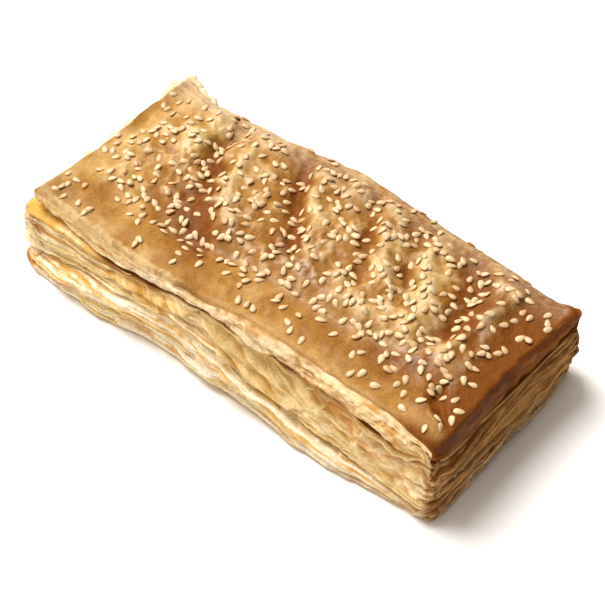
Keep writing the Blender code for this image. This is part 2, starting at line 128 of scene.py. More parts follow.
lamp_data = bpy.data.lights.new("window_lamp", "SUN")
lamp_data.energy = LAMP_STRENGTH
lamp_data.angle = LAMP_SPREAD
lamp = bpy.data.objects.new("window_lamp", lamp_data)
lamp.rotation_euler = direction(LAMP_TURN, LAMP_RISE).to_track_quat("Z", "Y").to_euler()
bpy.context.scene.collection.objects.link(lamp)

room = bpy.data.worlds.new("pale_room")
room.use_nodes = True
sky = room.node_tree
towards = add_node(sky, "ShaderNodeTexCoord").outputs["Generated"]  # in a world, the direction looked in
facing = add_node(sky, "ShaderNodeVectorMath", {0: towards, 1: ROOM_BRIGHT_SIDE}, operation="DOT_PRODUCT")
glow = add_node(
    sky,
    "ShaderNodeMapRange",
    {
        "Value": facing.outputs["Value"],
        "From Min": -0.5,
        "From Max": 0.8,
        "To Min": ROOM_DARKEST,
        "To Max": ROOM_BRIGHTEST,
    },
    interpolation_type="SMOOTHSTEP",
)
sky.links.new(glow.outputs["Result"], sky.nodes["Background"].inputs["Strength"])
sky.nodes["Background"].inputs["Color"].default_value = (*linear(ROOM_WHITE), 1)
bpy.context.scene.world = room
bpy.context.scene.view_settings.view_transform = "Standard"

# ---------------------------------------------------------------- top sheet
#
# The upper sheet of puff dough: its crust is washed with egg and baked glossy gold, browner
# on the rims. It sank between the lumps of filling, and its cut edge opened into leaves.

LENGTH = 167 * MM
WIDTH = 75 * MM
CORNER_RADIUS = 2.2 * MM
BOX_CENTRE = np.array((-2.0, -2.36, 0)) * MM
HALF_LENGTH = LENGTH / 2
HALF_WIDTH = WIDTH / 2
ROUND = 2 * (LENGTH + WIDTH)
GRID_LONG = 346
GRID_WIDE = 156
EDGE_WAVE_OUT = 0.45 * MM
EDGE_WAVE_UP = 0.25 * MM
CRUMBLING = 0.4 * MM
SWELL = 3.4 * MM
CRUST_CORNER = 5 * MM
GROOVE_DEPTH = 1.6 * MM
GROOVE_WIDTH = 3.4 * MM
LUMP_HEIGHT = 0.7 * MM
LUMP_SIZE = 10 * MM
PUCKER_HEIGHT = 0.62 * MM
CREASE_HEIGHT = 0.38 * MM
PIMPLE_SIZE = 1.1 * MM
PIMPLE_HEIGHT = 0.07 * MM
NEAR_RIM_SWELL = 0.7 * MM
TORN_RELIEF = 0.35 * MM
TOP_LEAVES_RANDOM = 400
CRUST_GOLD = "#ae7e36"
CRUST_CREAM = "#d4b278"
CRUST_BROWN = "#7a4410"
PAINTED_SHEEN_MAUVE = "#ccb292"
KNOB_HIGHLIGHT = "#dcc09a"
NEAR_RIM_STRAW = "#dcb67c"
FLAKED_RIM_CREAM = "#e6ca96"
TORN_GAP_SHADE = "#68360c"
TORN_LIT = "#8a501a"


def mm(*values):
    """Lengths in millimetres as an array in metres."""
    return np.array(values) * MM


def smoothstep(low, high, at):
    """0 at low and 1 at high, with an even rise between, or an even fall where low is the larger."""
    t = np.clip((at - low) / (high - low), 0, 1)
    return t * t * (3 - 2 * t)


def bell(at, middle, half):
    """1 at the middle, falling off evenly on both sides, to about a third at the half-width."""
    return np.exp(-(((at - middle) / half) ** 2))


def through(at, places, values):
    """A smooth line through the values given at the places, level at each of them."""
    step = np.interp(at, places, np.arange(len(places)))
    cell = np.clip(np.floor(step).astype(int), 0, len(places) - 2)
    t = smoothstep(0, 1, step - cell)
    return np.asarray(values)[cell] * (1 - t) + np.asarray(values)[cell + 1] * t


def ripple(turn, seed):
    """A closed random wave round the outline, about -1 to 1: sines of 3 to 14 waves."""
    draw = np.random.default_rng(seed)
    total = np.zeros_like(turn)
    for waves in range(3, 15):
        phase = draw.uniform(0, 2 * math.pi)
        total = total + np.sin(2 * math.pi * waves * turn + phase) * draw.uniform(0.3, 1)
    return total / 3


def lumps(x, y, size, seed):
    """A smooth random surface, -1 to 1: values drawn on a square lattice and joined evenly."""
    table = np.random.default_rng(seed).uniform(-1, 1, (64, 64))
    across, along = x / size + 32, y / size + 32
    i, j = np.floor(across).astype(int), np.floor(along).astype(int)
    s, t = smoothstep(0, 1, across - i), smoothstep(0, 1, along - j)
    near_row = table[i, j] * (1 - s) + table[i + 1, j] * s
    far_row = table[i, j + 1] * (1 - s) + table[i + 1, j + 1] * s
    return near_row * (1 - t) + far_row * t


def grain(a, b, seed, wrap=4096):
    """The same kind of surface over places (a, b) in cells, which repeats after wrap cells of a."""
    table = np.random.default_rng(seed).uniform(-1, 1, (wrap, 257))
    i, j = np.floor(a).astype(int), np.floor(b).astype(int)
    s, t = smoothstep(0, 1, a - i), smoothstep(0, 1, b - j)
    i, next_i = i % wrap, (i + 1) % wrap
    j, next_j = j % 257, (j + 1) % 257
    low = table[i, j] * (1 - s) + table[next_i, j] * s
    high = table[i, next_j] * (1 - s) + table[next_i, next_j] * s
    return low * (1 - t) + high * t


def round_grain(distance, size, b, seed):
    """Grain along the closed outline, of cells of about this size, over a second coordinate b."""
    cells = int(round(ROUND / size))
    return grain(distance / ROUND * cells, b, seed, cells)


def along_side(distance, half, across):
    """One side of a rounded rectangle: place along it, place across it, and outward normal."""
    straight = half - CORNER_RADIUS
    turned = np.clip((np.abs(distance) - straight) / CORNER_RADIUS, 0, math.pi / 4)
    along = np.where(turned > 0, np.sign(distance) * (straight + CORNER_RADIUS * np.sin(turned)), distance)
    out = across - CORNER_RADIUS + CORNER_RADIUS * np.cos(turned)
    return along, out, np.sign(distance) * np.sin(turned), np.cos(turned)


def outline(distance):
    """The rounded rectangle, walked anticlockwise from the near left corner.

    Gives x, y, the outward normal, and the turn from 0 to 1 round the outline.
    """
    walked = np.mod(distance, ROUND)
    side = np.searchsorted([LENGTH, LENGTH + WIDTH, 2 * LENGTH + WIDTH], walked, side="right")
    on_right, on_far, on_left = walked - LENGTH, walked - LENGTH - WIDTH, walked - 2 * LENGTH - WIDTH
    u = np.choose(side, [2 * walked / LENGTH - 1, 1, 1 - 2 * on_far / LENGTH, -1])
    v = np.choose(side, [-1, 2 * on_right / WIDTH - 1, 1, 1 - 2 * on_left / WIDTH])
    arc = CORNER_RADIUS * (math.pi / 4 - 1)
    on_long_side = side % 2 == 0
    x1, y1, nx1, ny1 = along_side(u * (HALF_LENGTH + arc), HALF_LENGTH, HALF_WIDTH)
    y2, x2, ny2, nx2 = along_side(v * (HALF_WIDTH + arc), HALF_WIDTH, HALF_LENGTH)
    x = np.where(on_long_side, x1, np.sign(u) * x2)
    y = np.where(on_long_side, np.sign(v) * y1, y2)
    normal_x = np.where(on_long_side, nx1, np.sign(u) * nx2)
    normal_y = np.where(on_long_side, np.sign(v) * ny1, ny2)
    return x, y, normal_x, normal_y, walked / ROUND


# How the sheets lie at each side, as lines along it: the heights of the seam over the bottom
# sheet, of the slit's floor and of the crest, how far the slit gapes and how deep it goes, the
# radius by which the crust rolls over its edge, how far out the crest, the lip, the shoulder,
# the belly and the toe stand from the rectangle, and how far the bottom sheet is tucked in.

NEAR_SIDE = {
    "seam": (
        mm(-88, -78, -70, -58, -50, -30, -14, 0, 20, 40, 60, 88),
        mm(5, 6.6, 9, 12.4, 13, 15, 17, 15, 10.5, 6.6, 4.6, 3.6),
    ),
    "slit": (
        mm(-88, -70, -52, -30, -14, -6, 6, 20, 27, 36, 44, 60, 71, 79, 88),
        mm(22.5, 22, 20.8, 23.5, 27.2, 27.4, 25.4, 24.2, 22.6, 25, 24.8, 22.8, 21.4, 24.8, 25.6),
    ),
    "gape": (
        mm(-88, -72, -56, -30, -17, -13, -8, -4, 6, 16, 26, 36, 43, 52, 62, 75, 88),
        mm(5.2, 3, 1.5, 1.9, 1.1, 0.5, 0.5, 2.2, 2.4, 1.9, 4.2, 1.5, 2.6, 1.7, 2.2, 1.3, 1.1),
    ),
    "depth": (
        mm(-88, -56, -30, -18, -13, -8, -4, 6, 16, 26, 36, 43, 60, 75, 88),
        mm(8.5, 5, 7, 4.5, 1.6, 1.4, 5.5, 6, 5.5, 8.5, 5, 8, 5.5, 5, 3.6),
    ),
    "crest": (
        mm(-88, -74, -30, 0, 30, 60, 76, 84, 88),
        mm(32, 31.4, 31.2, 31.8, 32.4, 32.2, 32.4, 31.2, 30.4),
    ),
    "roll": (mm(-88, -30, -8, 6, 60, 78, 88), mm(2.2, 2.2, 1.6, 0.9, 0.9, 1.6, 2)),
    "crest_out": (
        mm(-88, -78, -30, -8, 8, 30, 60, 76, 88),
        mm(1.4, -0.6, -0.6, -1.2, -3.2, -4.2, -4, -2.8, -1),
    ),
    "lip_out": (mm(-88, -30, 0, 40, 60, 78, 88), mm(0, 0.6, 0.3, 0.5, 0.3, -0.6, -1.4)),
    "shoulder_out": (
        mm(-88, -76, -60, -30, -14, -2, 15, 30, 45, 60, 74, 82, 88),
        mm(4.6, 3, 2.2, 1.4, 0.6, -1.4, -3.2, -3.2, -2, -1, -2, -2.6, -1.8),
    ),
    "belly_out": (
        mm(-88, -60, -30, -10, 10, 30, 50, 70, 80, 88),
        mm(4.4, 4.4, 4.2, 3.8, 3.2, 1.6, 1.6, 1.5, 2.4, 2),
    ),
    "toe_out": (
        mm(-88, -78, -68, -52, -40, -28, -18, -4, 20, 40, 50, 60, 70, 80, 88),
        mm(6.8, 7.4, 7.8, 7.8, 6.6, 4.8, 4.5, 5.2, 4.6, 5.6, 5.6, 3.8, 2.4, 1.2, 1.6),
    ),
    "tuck": (mm(-88, -78, -66, 88), mm(3.4, 1.6, 0, 0)),
}
RIGHT_END = {
    "seam": (mm(-38, -15, 5, 38), mm(3.6, 6, 8, 8.5)),
    "slit": (mm(-38, -34, -26, 0, 20, 38), mm(25.6, 24.6, 21.4, 23, 24.5, 25)),
    "gape": (mm(-38, 0, 38), mm(1.1, 0.7, 0.8)),
    "depth": (mm(-38, -10, 20, 38), mm(2.6, 1.8, 1.6, 2)),
    "crest": (mm(-38, -35, -28, 0, 38), mm(30.4, 31.2, 32.8, 32.2, 32.8)),
    "roll": (mm(-38, -28, 24, 38), mm(2, 3.4, 3.4, 2.4)),
    "crest_out": (mm(-38, -30, 0, 38), mm(-1, 0.4, -0.6, 0.4)),
    "lip_out": (mm(-38, 0, 38), mm(-0.8, -1, 0)),
    "shoulder_out": (mm(-38, -30, -20, 0, 38), mm(-1.8, -2, -1.4, -1, 0.8)),
    "belly_out": (mm(-38, -10, 20, 38), mm(2, 1.8, 2.2, 2)),
    "toe_out": (mm(-38, 0, 25, 38), mm(1.6, 1.8, 1.4, 0)),
    "tuck": (mm(-38, 38), mm(0, 0)),
}
FAR_SIDE = {
    "seam": (mm(-88, -20, 30, 88), mm(11, 8.5, 10.5, 8.5)),
    "slit": (mm(-88, -40, 0, 40, 88), mm(23.5, 21.5, 24.5, 22, 25)),
    "gape": (mm(-88, -40, -10, 30, 60, 88), mm(3, 1.7, 0.7, 2.1, 1, 1.2)),
    "depth": (mm(-88, -40, -10, 30, 60, 88), mm(6, 5, 1.8, 5.5, 3, 3)),
    "crest": (mm(-88, -74, -56, 0, 50, 70, 88), mm(34.6, 32.4, 31.8, 33.8, 32.4, 31.4, 32.8)),
    "roll": (mm(-88, -60, 70, 88), mm(2, 2.6, 2.6, 2.4)),
    "crest_out": (
        mm(-88, -80, -68, -54, -38, -26, 0, 58, 72, 88),
        mm(-0.8, -2.2, -4.8, -3.2, -2.4, -0.8, 0.6, -1.6, -3, 0.4),
    ),
    "lip_out": (mm(-88, -78, -68, -54, -30, 30, 88), mm(-0.8, -1, -2.6, -1.4, 0.2, 0.3, 0)),
    "shoulder_out": (mm(-88, -40, 20, 88), mm(1.2, 0.4, -1, 0.4)),
    "belly_out": (mm(-88, -30, 30, 88), mm(2.4, 1.4, 2.2, 2.6)),
    "toe_out": (mm(-88, -20, 40, 88), mm(1.6, 1.2, 2.4, 0)),
    "tuck": (mm(-88, 88), mm(0, 0)),
}
LEFT_END = {
    "seam": (mm(-38, -28, 0, 38), mm(5, 8, 9.5, 11)),
    "slit": (mm(-38, 0, 38), mm(22.5, 21.5, 23.5)),
    "gape": (mm(-38, -20, 10, 38), mm(5.2, 3.6, 2.4, 3)),
    "depth": (mm(-38, 0, 38), mm(8.5, 6.5, 6)),
    "crest": (mm(-38, 0, 20, 30, 38), mm(32, 32.2, 33, 33.4, 34.6)),
    "roll": (mm(-38, 38), mm(1.8, 2)),
    "crest_out": (mm(-38, -32, -24, -8, 4, 14, 38), mm(1.4, -0.4, -1.2, -1.8, -1.6, -0.6, -1)),
    "lip_out": (mm(-38, 0, 38), mm(0, -1.4, -0.8)),
    "shoulder_out": (mm(-38, -28, -10, 14, 28, 38), mm(4.6, 3.4, 4, 5.4, 6, 4.4)),
    "belly_out": (mm(-38, 0, 38), mm(4.4, 4.2, 4.6)),
    "toe_out": (mm(-38, -30, 0, 38), mm(6.8, 4, 2.6, 2)),
    "tuck": (mm(-38, -28, 0, 38), mm(3.4, 1.2, 0, 0)),
}
SIDES = ((NEAR_SIDE, 0, -1), (RIGHT_END, 1, 0), (FAR_SIDE, 0, 1), (LEFT_END, -1, 0))
CREST, LIP, SLIT, SHOULDER, SEAM, FOOT = 0, 3, 4, 5, 10, 14
# Rings of each sheet: shares of the way down it and bulges, and for the bottom sheet also the
# shares of the tuck.
BAND_RINGS = ((0.3, 0.5 * MM), (0.68, 0.2 * MM), (1.0, 0))
MIDDLE_RINGS = ((0, 0), (0.2, -0.9 * MM), (0.42, 0.3 * MM), (0.62, -0.6 * MM), (0.85, 0.3 * MM))
BOTTOM_RINGS = ((0.2, 0, 1), (0.5, -0.8 * MM, 0.6), (0.76, 0.2 * MM, 0.2), (1, -1.2 * MM, 0))


def rim_roll(x, y):
    """Radius by which the crust rolls over its edge: that of the nearest side, mixed at corners."""
    total, shares = 0, 0
    for lines, face_x, face_y in SIDES:
        gap = HALF_LENGTH - face_x * x if face_x else HALF_WIDTH - face_y * y
        share = np.exp(-gap / (2 * MM))
        total = total + share * through(x if face_y else y, *lines["roll"])
        shares = shares + share
    return total / shares


def rings_at(distance):
    """Outset and height of the fifteen rings at these places round the outline.

    Each side's lines are mixed by how far the outline faces that side. The top sheet's cut
    edge is rings 0 to 3, the slit 4, the middle sheets 5 to 9, the seam 10 and the bottom
    sheet 11 to 14.
    """
    x, y, normal_x, normal_y, turn = outline(distance)
    mixed = {name: 0 for name in NEAR_SIDE}
    for lines, face_x, face_y in SIDES:
        share = np.maximum(normal_x * face_x + normal_y * face_y, 0) ** 2
        along = x if face_y else y
        for name, (places, values) in lines.items():
            mixed[name] = mixed[name] + share * through(along, places, values)
    crest, slit, seam, gape = mixed["crest"] - rim_roll(x, y), mixed["slit"], mixed["seam"], mixed["gape"]
    crest_out, lip_out = mixed["crest_out"], mixed["lip_out"]
    shoulder, belly, toe, tuck = mixed["shoulder_out"], mixed["belly_out"], mixed["toe_out"], mixed["tuck"]
    lip = slit + gape
    rings = [(crest_out, crest)]
    for share, bulge in BAND_RINGS:
        rings.append((crest_out + (lip_out - crest_out) * share + bulge, crest + (lip - crest) * share))
    rings.append((-mixed["depth"], slit + 0.45 * gape))
    for share, bulge in MIDDLE_RINGS:
        rings.append((shoulder + (belly - shoulder) * share + bulge, slit + (seam - slit) * share))
    rings.append((np.minimum(belly, toe) - 1.8 * MM - 0.8 * tuck, seam))
    for share, bulge, tucked in BOTTOM_RINGS:
        rings.append((toe + bulge - tuck * tucked, seam * (1 - share)))
    room_inside = 1.4 * MM + 0.7 * np.maximum(HALF_LENGTH - np.abs(x), HALF_WIDTH - np.abs(y))
    outsets, heights = [], []
    for number, (outset, height) in enumerate(rings):
        lift = 0 if number == FOOT else EDGE_WAVE_UP * ripple(turn, number + 50)
        wave = EDGE_WAVE_OUT * ripple(turn, number)
        wave = wave + CRUMBLING * round_grain(distance, 4 * MM, 0 * distance + 0.4 * number, 18)
        outsets.append(np.maximum(outset + wave, -room_inside))
        heights.append(height + lift)
    return np.array(outsets), np.array(heights)


SHEET_START = np.array([0, 0, 0, 3, 4, 5, 5, 5, 5, 5, 10, 10, 10, 10])
SHEET_END = np.array([3, 3, 3, 4, 5, 10, 10, 10, 10, 10, 14, 14, 14, 14])


def wall_at(distance, level):
    """Outset and height of the plain wall at any level, a number between two rings.

    A Catmull-Rom curve runs through the rings of each sheet, and stops at the sheet's ends.
    """
    rings = np.stack(rings_at(distance))
    level = np.broadcast_to(level, distance.shape)
    this = np.clip(np.floor(level).astype(int), 0, FOOT - 1)
    t = level - this
    column = np.arange(len(distance))
    before = rings[:, np.maximum(this - 1, SHEET_START[this]), column]
    here, following = rings[:, this, column], rings[:, this + 1, column]
    after = rings[:, np.minimum(this + 2, SHEET_END[this]), column]
    slope_here, slope_following = (following - before) / 2, (after - here) / 2
    return (
        here * (1 + 2 * t) * (1 - t) ** 2
        + following * t * t * (3 - 2 * t)
        + slope_here * t * (1 - t) ** 2
        - slope_following * t * t * (1 - t)
    )


def place(distance, out, height):
    """Points at these outsets and heights over places round the outline."""
    x, y, normal_x, normal_y, _ = outline(distance)
    return np.stack([x + normal_x * out, y + normal_y * out, height], -1) - BOX_CENTRE


# Folds of the crust: height (below 0 for a valley), width, and the line it follows, in
# millimetres on the rectangle.
FOLDS = (
    (-3.0, 4.6, ((-50, 34), (-47, 18), (-43, 6), (-39, -2))),
    (-2.3, 6.0, ((-68, -3), (-50, -6), (-36, -10), (-24, -19))),
    (-3.2, 5.0, ((-23, 33), (-15, 19), (-6, 6), (1, -4))),
    (-1.9, 3.2, ((8, 33), (15, 18), (23, 7), (27, -3))),
    (-1.9, 3.6, ((29, 30), (36, 14), (43, 3))),
    (-3.4, 5.4, ((50, 32), (57, 15), (62, 3), (60, -6))),
    (1.1, 4.2, ((-60, 30), (-54, 20), (-52, 8))),
    (1.3, 5.0, ((-38, 20), (-33, 7), (-26, -5), (-17, -12))),
    (1.1, 4.0, ((-13, 28), (-4, 15), (4, 6), (10, -5))),
    (0.9, 3.8, ((18, 24), (26, 11), (33, 1))),
    (0.9, 3.8, ((38, 24), (45, 9), (51, -6))),
    (1.3, 3.8, ((68, 22), (64, 8), (66, -1), (60, -9))),
    (-2.0, 1.6, ((70, -19), (77, -23), (86, -27))),
    (1.2, 2.4, ((70, -24), (76, -28), (84, -32))),
)
GROOVE_LINE = (mm(-70, -52, -36, -20, 0, 30, 52, 66), mm(-8, -15, -20, -19, -17, -17.5, -14, -6))


def line_distance(x, y, places):
    """Distance from each (x, y) to the broken line through these places, below 0 to the left of it."""
    nearest = np.full(np.shape(x), np.inf)
    for (start_x, start_y), (end_x, end_y) in zip(places, places[1:]):
        along_x, along_y = (end_x - start_x) * MM, (end_y - start_y) * MM
        from_x, from_y = x - start_x * MM, y - start_y * MM
        share = np.clip((from_x * along_x + from_y * along_y) / (along_x**2 + along_y**2), 0, 1)
        gap = np.hypot(from_x - share * along_x, from_y - share * along_y)
        gap = np.where(along_x * from_y > along_y * from_x, gap, -gap)
        nearest = np.where(np.abs(gap) < np.abs(nearest), gap, nearest)
    return nearest


def folds(x, y, edge):
    """Summed height of the folds, each a bell curve across its line, which wavers a little.

    The side towards the right end is steeper than the other. Wide folds fade out far from
    the edge, and narrow ones near it.
    """
    bent_x = x + 1.8 * MM * lumps(x, y, 8 * MM, 5) + 0.7 * MM * lumps(x, y, 3.4 * MM, 8)
    bent_y = y + 1.8 * MM * lumps(x, y, 8 * MM, 6) + 0.7 * MM * lumps(x, y, 3.4 * MM, 9)
    height = np.zeros(np.shape(x))
    for lift, width, places in FOLDS:
        gap = line_distance(bent_x, bent_y, places) / (width * MM)
        gap = np.where(gap > 0, gap / 0.68, gap / 1.2)
        height = height + lift * MM * bell(gap, 0, 1) * smoothstep(0, 1.7 * width * MM, edge)
    return height


def inside_swell(x, y):
    """1 over the filling and 0 at the rims, which are pressed flat."""
    return (
        smoothstep(-HALF_LENGTH + 2 * MM, -HALF_LENGTH + 20 * MM, x)
        * smoothstep(HALF_LENGTH - 3 * MM, HALF_LENGTH - 22 * MM, x)
        * smoothstep(-25 * MM, -8 * MM, y)
        * smoothstep(HALF_WIDTH, HALF_WIDTH - 11 * MM, y)
    )


def groove_share(x, y, width):
    """1 along the groove between the filling and the near rim, falling off over a width."""
    across = bell(y, through(x, *GROOVE_LINE), width)
    return across * smoothstep(-74 * MM, -60 * MM, x) * smoothstep(68 * MM, 50 * MM, x)


def rim_gap(u, v):
    """How far inside the crust's edge a place of the square (u, v) lies, round at the corners."""
    over_x = np.abs(u) * HALF_LENGTH - HALF_LENGTH + CRUST_CORNER
    over_y = np.abs(v) * HALF_WIDTH - HALF_WIDTH + CRUST_CORNER
    outside = np.hypot(np.maximum(over_x, 0), np.maximum(over_y, 0))
    return np.maximum(CRUST_CORNER - outside - np.minimum(np.maximum(over_x, over_y), 0), 0)


def ridged(surface):
    """1 where a random surface passes through nothing, falling evenly to 0 beside it."""
    return 1 - np.minimum(np.abs(surface) / 0.55, 1)


def puckers(x, y):
    """Dimples and knobs of 2 to 5 mm, -1 to 1, drawn out a little across the pastry."""
    bend = 1.5 * MM * grain(x / (6 * MM) + 50, y / (6 * MM) + 50, 26)
    coarse = grain((x + bend + 0.4 * y) / (3.8 * MM) + 90, (y + bend) / (5 * MM) + 60, 27)
    fine = grain((x - bend + 0.4 * y) / (1.9 * MM) + 90, (y + bend) / (2.6 * MM) + 60, 28)
    return 0.7 * coarse + 0.45 * fine


def crust_lift(x, y, edge):
    """Height of the crust over its edge: the filling's swell, folds, lumps and puckers."""
    inside = inside_swell(x, y)
    lift = SWELL * inside + folds(x, y, edge)
    lift = lift - GROOVE_DEPTH * groove_share(x, y, GROOVE_WIDTH)
    near_rim = bell(y, -29 * MM, 7 * MM) * smoothstep(HALF_LENGTH, 60 * MM, x)
    lift = lift + NEAR_RIM_SWELL * near_rim
    rough = LUMP_HEIGHT * lumps(x, y, LUMP_SIZE, 3) + PUCKER_HEIGHT * puckers(x, y)
    return (lift + rough * (0.35 + 0.65 * inside)) * smoothstep(0, 7 * MM, edge)


def wrinkles(x, y):
    """Fine creases, 0 to 1: ridges where random surfaces cross zero, drawn out along the far rim."""
    bend_x = x + 2.2 * MM * grain(x / (9 * MM) + 50, y / (9 * MM) + 50, 21)
    bend_y = y + 2.2 * MM * grain(x / (9 * MM) + 50, y / (9 * MM) + 50, 22)
    first = grain(bend_x / (5 * MM) + 90, bend_y / (7 * MM) + 60, 23)
    second = grain(bend_x / (2.6 * MM) + 90, bend_y / (4 * MM) + 60, 24)
    drawn_out = grain(bend_x / (11 * MM) + 90, bend_y / (1.5 * MM) + 60, 25)
    far_rim = smoothstep(20 * MM, 30 * MM, y) * (0.5 + 0.5 * smoothstep(20 * MM, -45 * MM, x))
    all_over = 0.6 * bell(first, 0, 0.14) + 0.35 * bell(second, 0, 0.18)
    return all_over * (1 - 0.6 * far_rim) + bell(drawn_out, 0, 0.3) * far_rim


def crust_points(u, v):
    """The crust over the square (u, v): a Coons patch of the crest ring."""

    def crest(distance):
        out, height = wall_at(distance, CREST)
        x, y = outline(distance)[:2]
        return place(distance, out, height + rim_roll(x, y)) + BOX_CENTRE

    s, t = ((u + 1) / 2)[:, None], ((v + 1) / 2)[:, None]
    near, far = crest(s[:, 0] * LENGTH), crest(LENGTH + WIDTH + (1 - s[:, 0]) * LENGTH)
    right, left = crest(LENGTH + t[:, 0] * WIDTH), crest(2 * LENGTH + WIDTH + (1 - t[:, 0]) * WIDTH)
    corners = crest(np.array([0, LENGTH, LENGTH + WIDTH, 2 * LENGTH + WIDTH]))
    points = near * (1 - t) + far * t + left * (1 - s) + right * s
    points -= (corners[0] * (1 - s) + corners[1] * s) * (1 - t)
    points -= (corners[3] * (1 - s) + corners[2] * s) * t
    return points


def strata(distance, depth, seed):
    """Torn leaves at places along the wall and depths through the sheets: 1 at an edge, 0 in a gap.

    The leaves are the ridged lines of three random surfaces drawn out along the wall, each
    half as large as the one before, so they wander, part and join.
    """
    bent = depth + 1.2 * MM * round_grain(distance, 46 * MM, depth / (9 * MM) + 20, seed)
    bent = bent + 0.22 * MM * round_grain(distance, 12 * MM, depth / (3 * MM) + 20, seed + 1)
    relief = 0
    for thick, long, weight in ((1.3, 30, 0.3), (0.7, 17, 0.38), (0.4, 9, 0.32)):
        surface = round_grain(distance, long * MM, bent / (thick * MM) + 40, seed + int(long))
        relief = relief + weight * ridged(surface)
    return relief


def torn_end(x, y, edge):
    """Where the crust's roll at the right end shows torn leaves, 0 to 1, and the leaves there."""
    at_end = smoothstep(HALF_LENGTH - 5 * MM, HALF_LENGTH - 2.6 * MM, x)
    torn = at_end * smoothstep(3.2 * MM, 1.6 * MM, edge)
    return torn, strata(LENGTH + HALF_WIDTH + y, -1.3 * edge, TOP_LEAVES_RANDOM)


def crust_surface(u, v):
    """The finished crust over (u, v), with its lift and creases, and its plain rectangle places."""
    points = crust_points(u, v)
    x, y = points[:, 0].copy(), points[:, 1].copy()
    edge = rim_gap(u, v)
    shown = np.maximum(inside_swell(x, y), 0.8 * smoothstep(18 * MM, 28 * MM, y))
    crease = wrinkles(x, y) * (0.2 + 0.8 * shown) * smoothstep(0, 2.5 * MM, edge)
    pimples = grain(x / PIMPLE_SIZE + 100, y / PIMPLE_SIZE + 100, 7) * smoothstep(0, 3 * MM, edge)
    radius = rim_roll(u * HALF_LENGTH, v * HALF_WIDTH)
    fallen = radius * (1 - np.sqrt(1 - (1 - np.minimum(edge / radius, 1)) ** 2))
    points[:, 2] += crust_lift(x, y, edge) + CREASE_HEIGHT * crease + PIMPLE_HEIGHT * pimples - fallen
    torn, leaves = torn_end(x, y, edge)
    points[:, 0] += TORN_RELIEF * torn * (leaves - 0.4)
    return points - BOX_CENTRE, x, y, crease, edge


def mix(first, second, share):
    """Colours between two, by a share for each point."""
    share = np.clip(np.asarray(share), 0, 1)[..., None]
    return first * (1 - share) + second * share


def blend(dark, light, share):
    """Colours between two colour codes, by a share for each point."""
    return mix(linear(dark), linear(light), share)


def tint(colour, hex_code, share):
    """Colours drawn towards a colour code, by a share for each point."""
    return mix(colour, linear(hex_code), share)


# Where the crust baked browner (above 0) or stayed paler: by how much, the middle and the
# half-widths, in millimetres on the rectangle.
BAKED_SPOTS = (
    (0.9, 62, 14, 6, 13),
    (0.8, -13, 28, 6, 9),
    (0.7, 26, -4, 5, 13),
    (1.1, -28, -8, 11, 10),
    (0.5, 0, -4, 7, 9),
    (0.5, 17, 10, 6, 5),
    (0.8, -15, -15, 7, 7),
    (0.5, 15, -9, 7, 8),
    (0.6, 60, -14, 7, 6),
    (0.4, 46, -20, 7, 5),
    (0.5, 75, -25, 7, 4),
    (-0.45, -76, -2, 7, 11),
    (-0.8, 30, 4, 7, 4),
    (-0.35, 62, -2, 6, 6),
    (-0.55, 46, 19, 6, 4),
    (-0.3, 30, -32, 36, 2.5),
    (-0.35, 24, -4, 6, 6),
    (0.5, 8, -11, 14, 4),
    (0.4, -62, -27, 8, 8),
    (0.6, -20, -27, 11, 9),
    (0.45, 38, -25, 7, 6),
    (0.45, 57, -22, 10, 7),
    (-0.5, 42, 9, 9, 9),
    (-0.8, -60, 26, 12, 12),
    (-0.9, -62, -8, 11, 8),
    (0.35, -66, -24, 9, 4),
    (-0.4, -36, 27, 6, 5),
)


def baked_spots(x, y):
    """How much browner, or paler below 0, the crust is at a place: the sum of the spots' bell curves."""
    total = 0
    for amount, middle_x, middle_y, half_x, half_y in BAKED_SPOTS:
        total = total + amount * bell(x / MM, middle_x, half_x) * bell(y / MM, middle_y, half_y)
    return total


def torn_colour(y, leaves):
    """Colour of the torn leaves at the right end's rim: painted shade in the gaps between leaves, paler on
    their edges, and paler towards the far corner.
    """
    colour = blend(TORN_GAP_SHADE, TORN_LIT, smoothstep(0.25, 0.75, leaves))
    return colour * (1 + 0.45 * smoothstep(-2 * MM, 6 * MM, y))[:, None]


